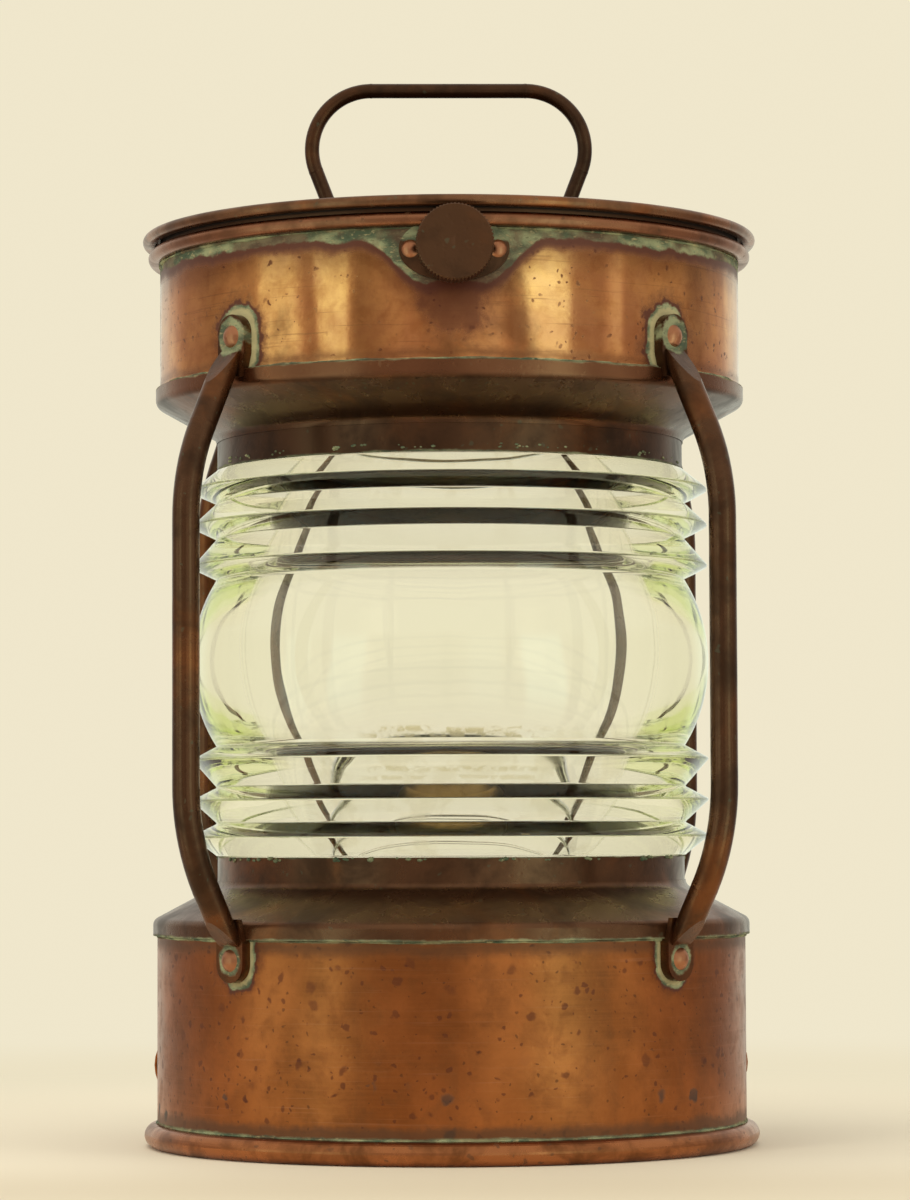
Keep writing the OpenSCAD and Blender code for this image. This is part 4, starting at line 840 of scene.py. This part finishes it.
class LAMP_OT_seam_crust(bpy.types.Operator):
    """Broken beads of verdigris along the seams"""
    bl_idname = "lamp.seam_crust"
    bl_label = "Seam Crust"

    def execute(self, context):
        deposit = context.scene.lamp_deposit
        crust = green_crust(context.scene.lamp_finish)
        drum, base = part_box("upper_drum")[1].x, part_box("base_drum")[1].x
        seams = [("upper_seam_crust", drum, SEAMS["upper"] + 0.3 * MM, 1.0, 3),
                 ("lower_seam_crust", base, SEAMS["lower"] - 0.3 * MM, 1.0, 11),
                 ("rim_seam_crust", drum, SEAMS["rim"] - 0.2 * MM, 1.2, 23),
                 ("foot_seam_crust", base, SEAMS["foot"] + 0.2 * MM, 0.8, 37)]
        for name, radius, height, heavy, seed in seams:
            def shape(bm, radius=radius, height=height, heavy=heavy, seed=seed):
                full_radius = deposit.thickness * heavy
                bmesh.ops.create_circle(bm, segments=8, radius=full_radius,
                                        matrix=Matrix.Translation((radius, 0, height))
                                        @ Matrix.Rotation(math.radians(90), 4, "X"))
                revolve(bm, deposit.steps)
                for vert in bm.verts:
                    out = Vector((vert.co.x, vert.co.y, 0)).normalized()
                    heart = out * radius + Vector((0, 0, height))
                    coarse = noise.noise(heart * 90 + Vector((seed, 0, 0)))
                    fine = noise.noise(vert.co * 900 + Vector((0, seed, 0)))
                    swell = max(0.12, 0.75 + 1.1 * coarse + 0.35 * fine)
                    vert.co = heart + (vert.co - heart) * swell

            piece(name, shape, "lantern", crust)
        return {"FINISHED"}


class LAMP_OT_collar_crumbs(bpy.types.Operator):
    """Crumbs of old crust where the glass meets the collars"""
    bl_idname = "lamp.collar_crumbs"
    bl_label = "Collar Crumbs"

    def execute(self, context):
        deposit = context.scene.lamp_deposit
        crust = green_crust(context.scene.lamp_finish, "pale_crumbs", 0.12)
        lower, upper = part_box("lower_collar")[1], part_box("upper_collar")
        noise.seed_set(5)
        for name, radius, height, heaped in (
                ("lower_collar_crumbs", lower.x, lower.z - 0.6 * MM, 1.0),
                ("upper_collar_crumbs", upper[1].x, upper[0].z + 1.6 * MM, 0.7)):
            def shape(bm, radius=radius, height=height, heaped=heaped):
                for i in range(deposit.crumbs):
                    heap = math.floor(9 * noise.random())
                    angle = heap * 0.7 + 0.45 * noise.random() ** 2
                    grain = (0.25 + 0.5 * noise.random()) * heaped * MM
                    lift = (noise.random() - 0.5) * 1.6 * (1.5 - heaped) * MM
                    place = (Matrix.Rotation(angle, 4, "Z") @ Matrix.Translation((radius, 0, height + lift))
                             @ Matrix.Diagonal((0.8, 1.6, 0.9, 1.0)))
                    bmesh.ops.create_icosphere(bm, subdivisions=1, radius=grain, matrix=place)

            piece(name, shape, "lantern", crust)
        return {"FINISHED"}


# Operators: stage

def room_glow(tree, bearing):
    """What metal mirrors in each direction, as a level and its colour: windows, walls and dark corners."""
    # By bearing from the camera's side: (from, to, edge, change) in degrees
    glow = 0.5
    for low, high, soft, change in (
            (-5, 0, 2, -0.3), (6, 22, 4, 0.42), (30, 49, 2.5, 1.0), (61, 72, 3, 0.45), (104, 121, 7, -0.15),
            (136, 400, 12, 0.42), (-22, -13, 5, 0.12), (-35, -27, 3, -0.16), (-55, -38, 2.5, 0.78),
            (-79, -65, 3, 0.65), (-116, -102, 7, -0.1), (-400, -136, 12, 0.38)):
        rise = spread(tree, bearing, math.radians(low - soft), math.radians(low + soft))
        fall = spread(tree, bearing, math.radians(high + soft), math.radians(high - soft))
        glow = sums(tree, "MULTIPLY_ADD", sums(tree, "MULTIPLY", rise, fall), change, glow)
    daylight = spread(tree, glow, 0.5, 1.45)
    return glow, blend(tree, daylight, (1.0, 0.86, 0.72, 1.0), (1.0, 1.34, 1.18, 1.0))


def bearing_of(tree, direction):
    """The bearing of a direction from the camera's side, in radians; also gives its height."""
    split = node(tree, "ShaderNodeSeparateXYZ", inputs={0: direction}).outputs
    return sums(tree, "ARCTAN2", split["X"], sums(tree, "MULTIPLY", split["Y"], -1.0)), split["Z"]


class LAMP_OT_stage(bpy.types.Operator):
    """Pale table and wall, soft lights, and the camera of the photograph"""
    bl_idname = "lamp.stage"
    bl_label = "Stage"

    def execute(self, context):
        finish = context.scene.lamp_finish
        context.scene.view_settings.view_transform = "Standard"
        paths = context.scene.cycles
        paths.max_bounces = paths.glossy_bounces = paths.transmission_bounces = GLASS_TURNS
        self.table(finish)
        self.room(context.scene, finish)
        self.lights()
        self.camera(context.scene)
        return {"FINISHED"}

    def table(self, finish):
        """A wide pale table that fades into the wall's colour away from the lamp, and is painted darker towards the
        camera as painted shade.
        """
        mesh = bpy.data.meshes.new("table")
        bm = bmesh.new()
        bmesh.ops.create_circle(bm, cap_ends=True, segments=96, radius=6.0)
        bm.to_mesh(mesh)
        bm.free()
        table = bpy.data.objects.new("table", mesh)
        bpy.context.scene.collection.objects.link(table)
        made, tree, shader, place = material("pale_table")
        mesh.materials.append(made)
        away = node(tree, "ShaderNodeVectorMath", operation="LENGTH", inputs={0: place}).outputs["Value"]
        far = spread(tree, away, 0.15, 0.40)
        farther = spread(tree, away, 0.42, 0.70)
        # Painted shade: the table is darker towards the camera, in front of the lamp.
        front = spread(tree, node(tree, "ShaderNodeSeparateXYZ", inputs={0: place}).outputs["Y"], -0.06, -0.17)
        shade = tuple(c * dim for c, dim in zip(finish.table, (0.86, 0.83, 0.79)))
        tree.links.new(blend(tree, front, full(finish.table), full(shade)), shader.inputs["Base Color"])
        shader.inputs["Roughness"].default_value = 0.7
        shader.inputs["Specular IOR Level"].default_value = 0.2
        rays = node(tree, "ShaderNodeLightPath").outputs
        # Metal mirrors the table in the room's bands of light, glass shows it as it is
        by_metal = sums(tree, "GREATER_THAN", rays["Is Glossy Ray"], rays["Is Transmission Ray"])
        level, mirrored = room_glow(tree, bearing_of(tree, place)[0])
        glow = node(tree, "ShaderNodeEmission", inputs={
            "Color": blend(tree, by_metal, blend(tree, farther, (0.84, 0.755, 0.55, 1.0), full(finish.wall)), mirrored),
            "Strength": spread_mix(tree, by_metal, 1.0, level)})
        seen = sums(tree, "MAXIMUM", rays["Is Camera Ray"],
                    sums(tree, "MAXIMUM", rays["Is Glossy Ray"], rays["Is Transmission Ray"]))
        mix = node(tree, "ShaderNodeMixShader", inputs={
            0: sums(tree, "MULTIPLY", far, seen), 1: shader.outputs[0], 2: glow.outputs[0]})
        output = next(n for n in tree.nodes if n.bl_idname == "ShaderNodeOutputMaterial")
        tree.links.new(mix.outputs[0], output.inputs["Surface"])

    def room(self, scene, finish):
        """A cream room: the wall as the camera and the glass see it, and what the metal reflects."""
        world = bpy.data.worlds.new("room")
        scene.world = world
        world.use_nodes = True
        tree = world.node_tree
        tree.nodes.clear()
        toward = node(tree, "ShaderNodeTexCoord").outputs["Generated"]
        bearing, height = bearing_of(tree, toward)
        glow, mirrored = room_glow(tree, bearing)
        overhead = spread(tree, height, 0.16, 0.34)
        glow = spread_mix(tree, overhead, glow, 0.8)
        mirrored = blend(tree, overhead, mirrored, (1.0, 0.97, 0.87, 1.0))
        rays = node(tree, "ShaderNodeLightPath").outputs
        seen = sums(tree, "MAXIMUM", rays["Is Camera Ray"], rays["Is Transmission Ray"])
        level = spread_mix(tree, rays["Is Glossy Ray"], 0.86, glow)
        # The windows at the camera's back, which only the glass sends back into view
        window = spread_mix(tree, rays["Is Transmission Ray"], 1.0, spread(tree, glow, 1.0, 1.5, 1.0, 1.5))
        level = spread_mix(tree, seen, level, window)
        colour = blend(tree, rays["Is Glossy Ray"], (1.0, 0.95, 0.85, 1.0), mirrored)
        colour = blend(tree, seen, colour, full(finish.wall))
        shade = node(tree, "ShaderNodeBackground", inputs={"Color": colour, "Strength": level})
        output = node(tree, "ShaderNodeOutputWorld")
        tree.links.new(shade.outputs[0], output.inputs["Surface"])

    def lights(self):
        """Three broad soft boxes: window left, window right and ceiling."""
        for name, place, size_x, size_y, watts in (
                ("window_left", (-1.3, -1.5, 0.9), 0.5, 1.6, 12),
                ("window_right", (1.6, -1.3, 0.9), 0.5, 1.6, 9),
                ("ceiling", (-0.4, -0.2, 2.2), 1.6, 1.6, 16)):
            data = bpy.data.lights.new(name, "AREA")
            data.shape = "RECTANGLE"
            data.size, data.size_y = size_x, size_y
            data.energy = watts
            data.color = (1.0, 0.95, 0.84)
            lamp = bpy.data.objects.new(name, data)
            lamp.location = place
            lamp.rotation_euler = (Vector((0, 0, 0.15)) - Vector(place)).to_track_quat("-Z", "Y").to_euler()
            lamp.visible_glossy = False
            lamp.visible_transmission = False
            bpy.context.scene.collection.objects.link(lamp)

    def camera(self, scene):
        data = bpy.data.cameras.new("photo_camera")
        data.sensor_fit = "VERTICAL"
        data.sensor_height = SENSOR
        data.lens = FOCAL_PX / FRAME_HEIGHT_PX * SENSOR
        data.clip_start, data.clip_end = 0.05, 50
        camera = bpy.data.objects.new("photo_camera", data)
        turn = Matrix.Rotation(CAMERA_AZIMUTH, 4, "Z")
        camera.matrix_world = (
            turn @ Matrix.Translation((CAMERA_ASIDE, -CAMERA_REACH, CAMERA_HEIGHT))
            @ Matrix.Rotation(math.radians(90) + CAMERA_PITCH, 4, "X")
            @ Matrix.Rotation(CAMERA_ROLL, 4, "Z"))
        scene.collection.objects.link(camera)
        scene.camera = camera


class LAMP_PT_panel(bpy.types.Panel):
    """Lists the anchor light's operators and sizes"""
    bl_idname = "LAMP_PT_panel"
    bl_label = "Anchor Light"
    bl_space_type = "VIEW_3D"
    bl_region_type = "UI"
    bl_category = "Anchor Light"

    def draw(self, context):
        for step in STEPS:
            self.layout.operator(step.bl_idname)
        for group_name in ("lamp_lens", "lamp_screw", "lamp_deposit", "lamp_finish"):
            values = getattr(context.scene, group_name)
            box = self.layout.box()
            for key in values.bl_rna.properties.keys():
                if key not in ("rna_type", "name"):
                    box.prop(values, key)


GROUPS_OF_VALUES = {"lamp_lens": LampLens, "lamp_screw": LampScrew, "lamp_deposit": LampDeposit,
                    "lamp_finish": LampFinish}
STEPS = (LAMP_OT_stage, LAMP_OT_copperwork, LAMP_OT_fittings, LAMP_OT_lock_screw, LAMP_OT_burner,
         LAMP_OT_lens, LAMP_OT_seam_crust, LAMP_OT_collar_crumbs)


def register():
    for made in (*GROUPS_OF_VALUES.values(), *STEPS, LAMP_PT_panel):
        bpy.utils.register_class(made)
    for name, values in GROUPS_OF_VALUES.items():
        setattr(bpy.types.Scene, name, PointerProperty(type=values))


def unregister():
    for name in GROUPS_OF_VALUES:
        delattr(bpy.types.Scene, name)
    for made in reversed((*GROUPS_OF_VALUES.values(), *STEPS, LAMP_PT_panel)):
        bpy.utils.unregister_class(made)


def main():
    register()
    for step in STEPS:
        area, name = step.bl_idname.split(".")
        getattr(getattr(bpy.ops, area), name)()


if __name__ == "__main__":
    main()
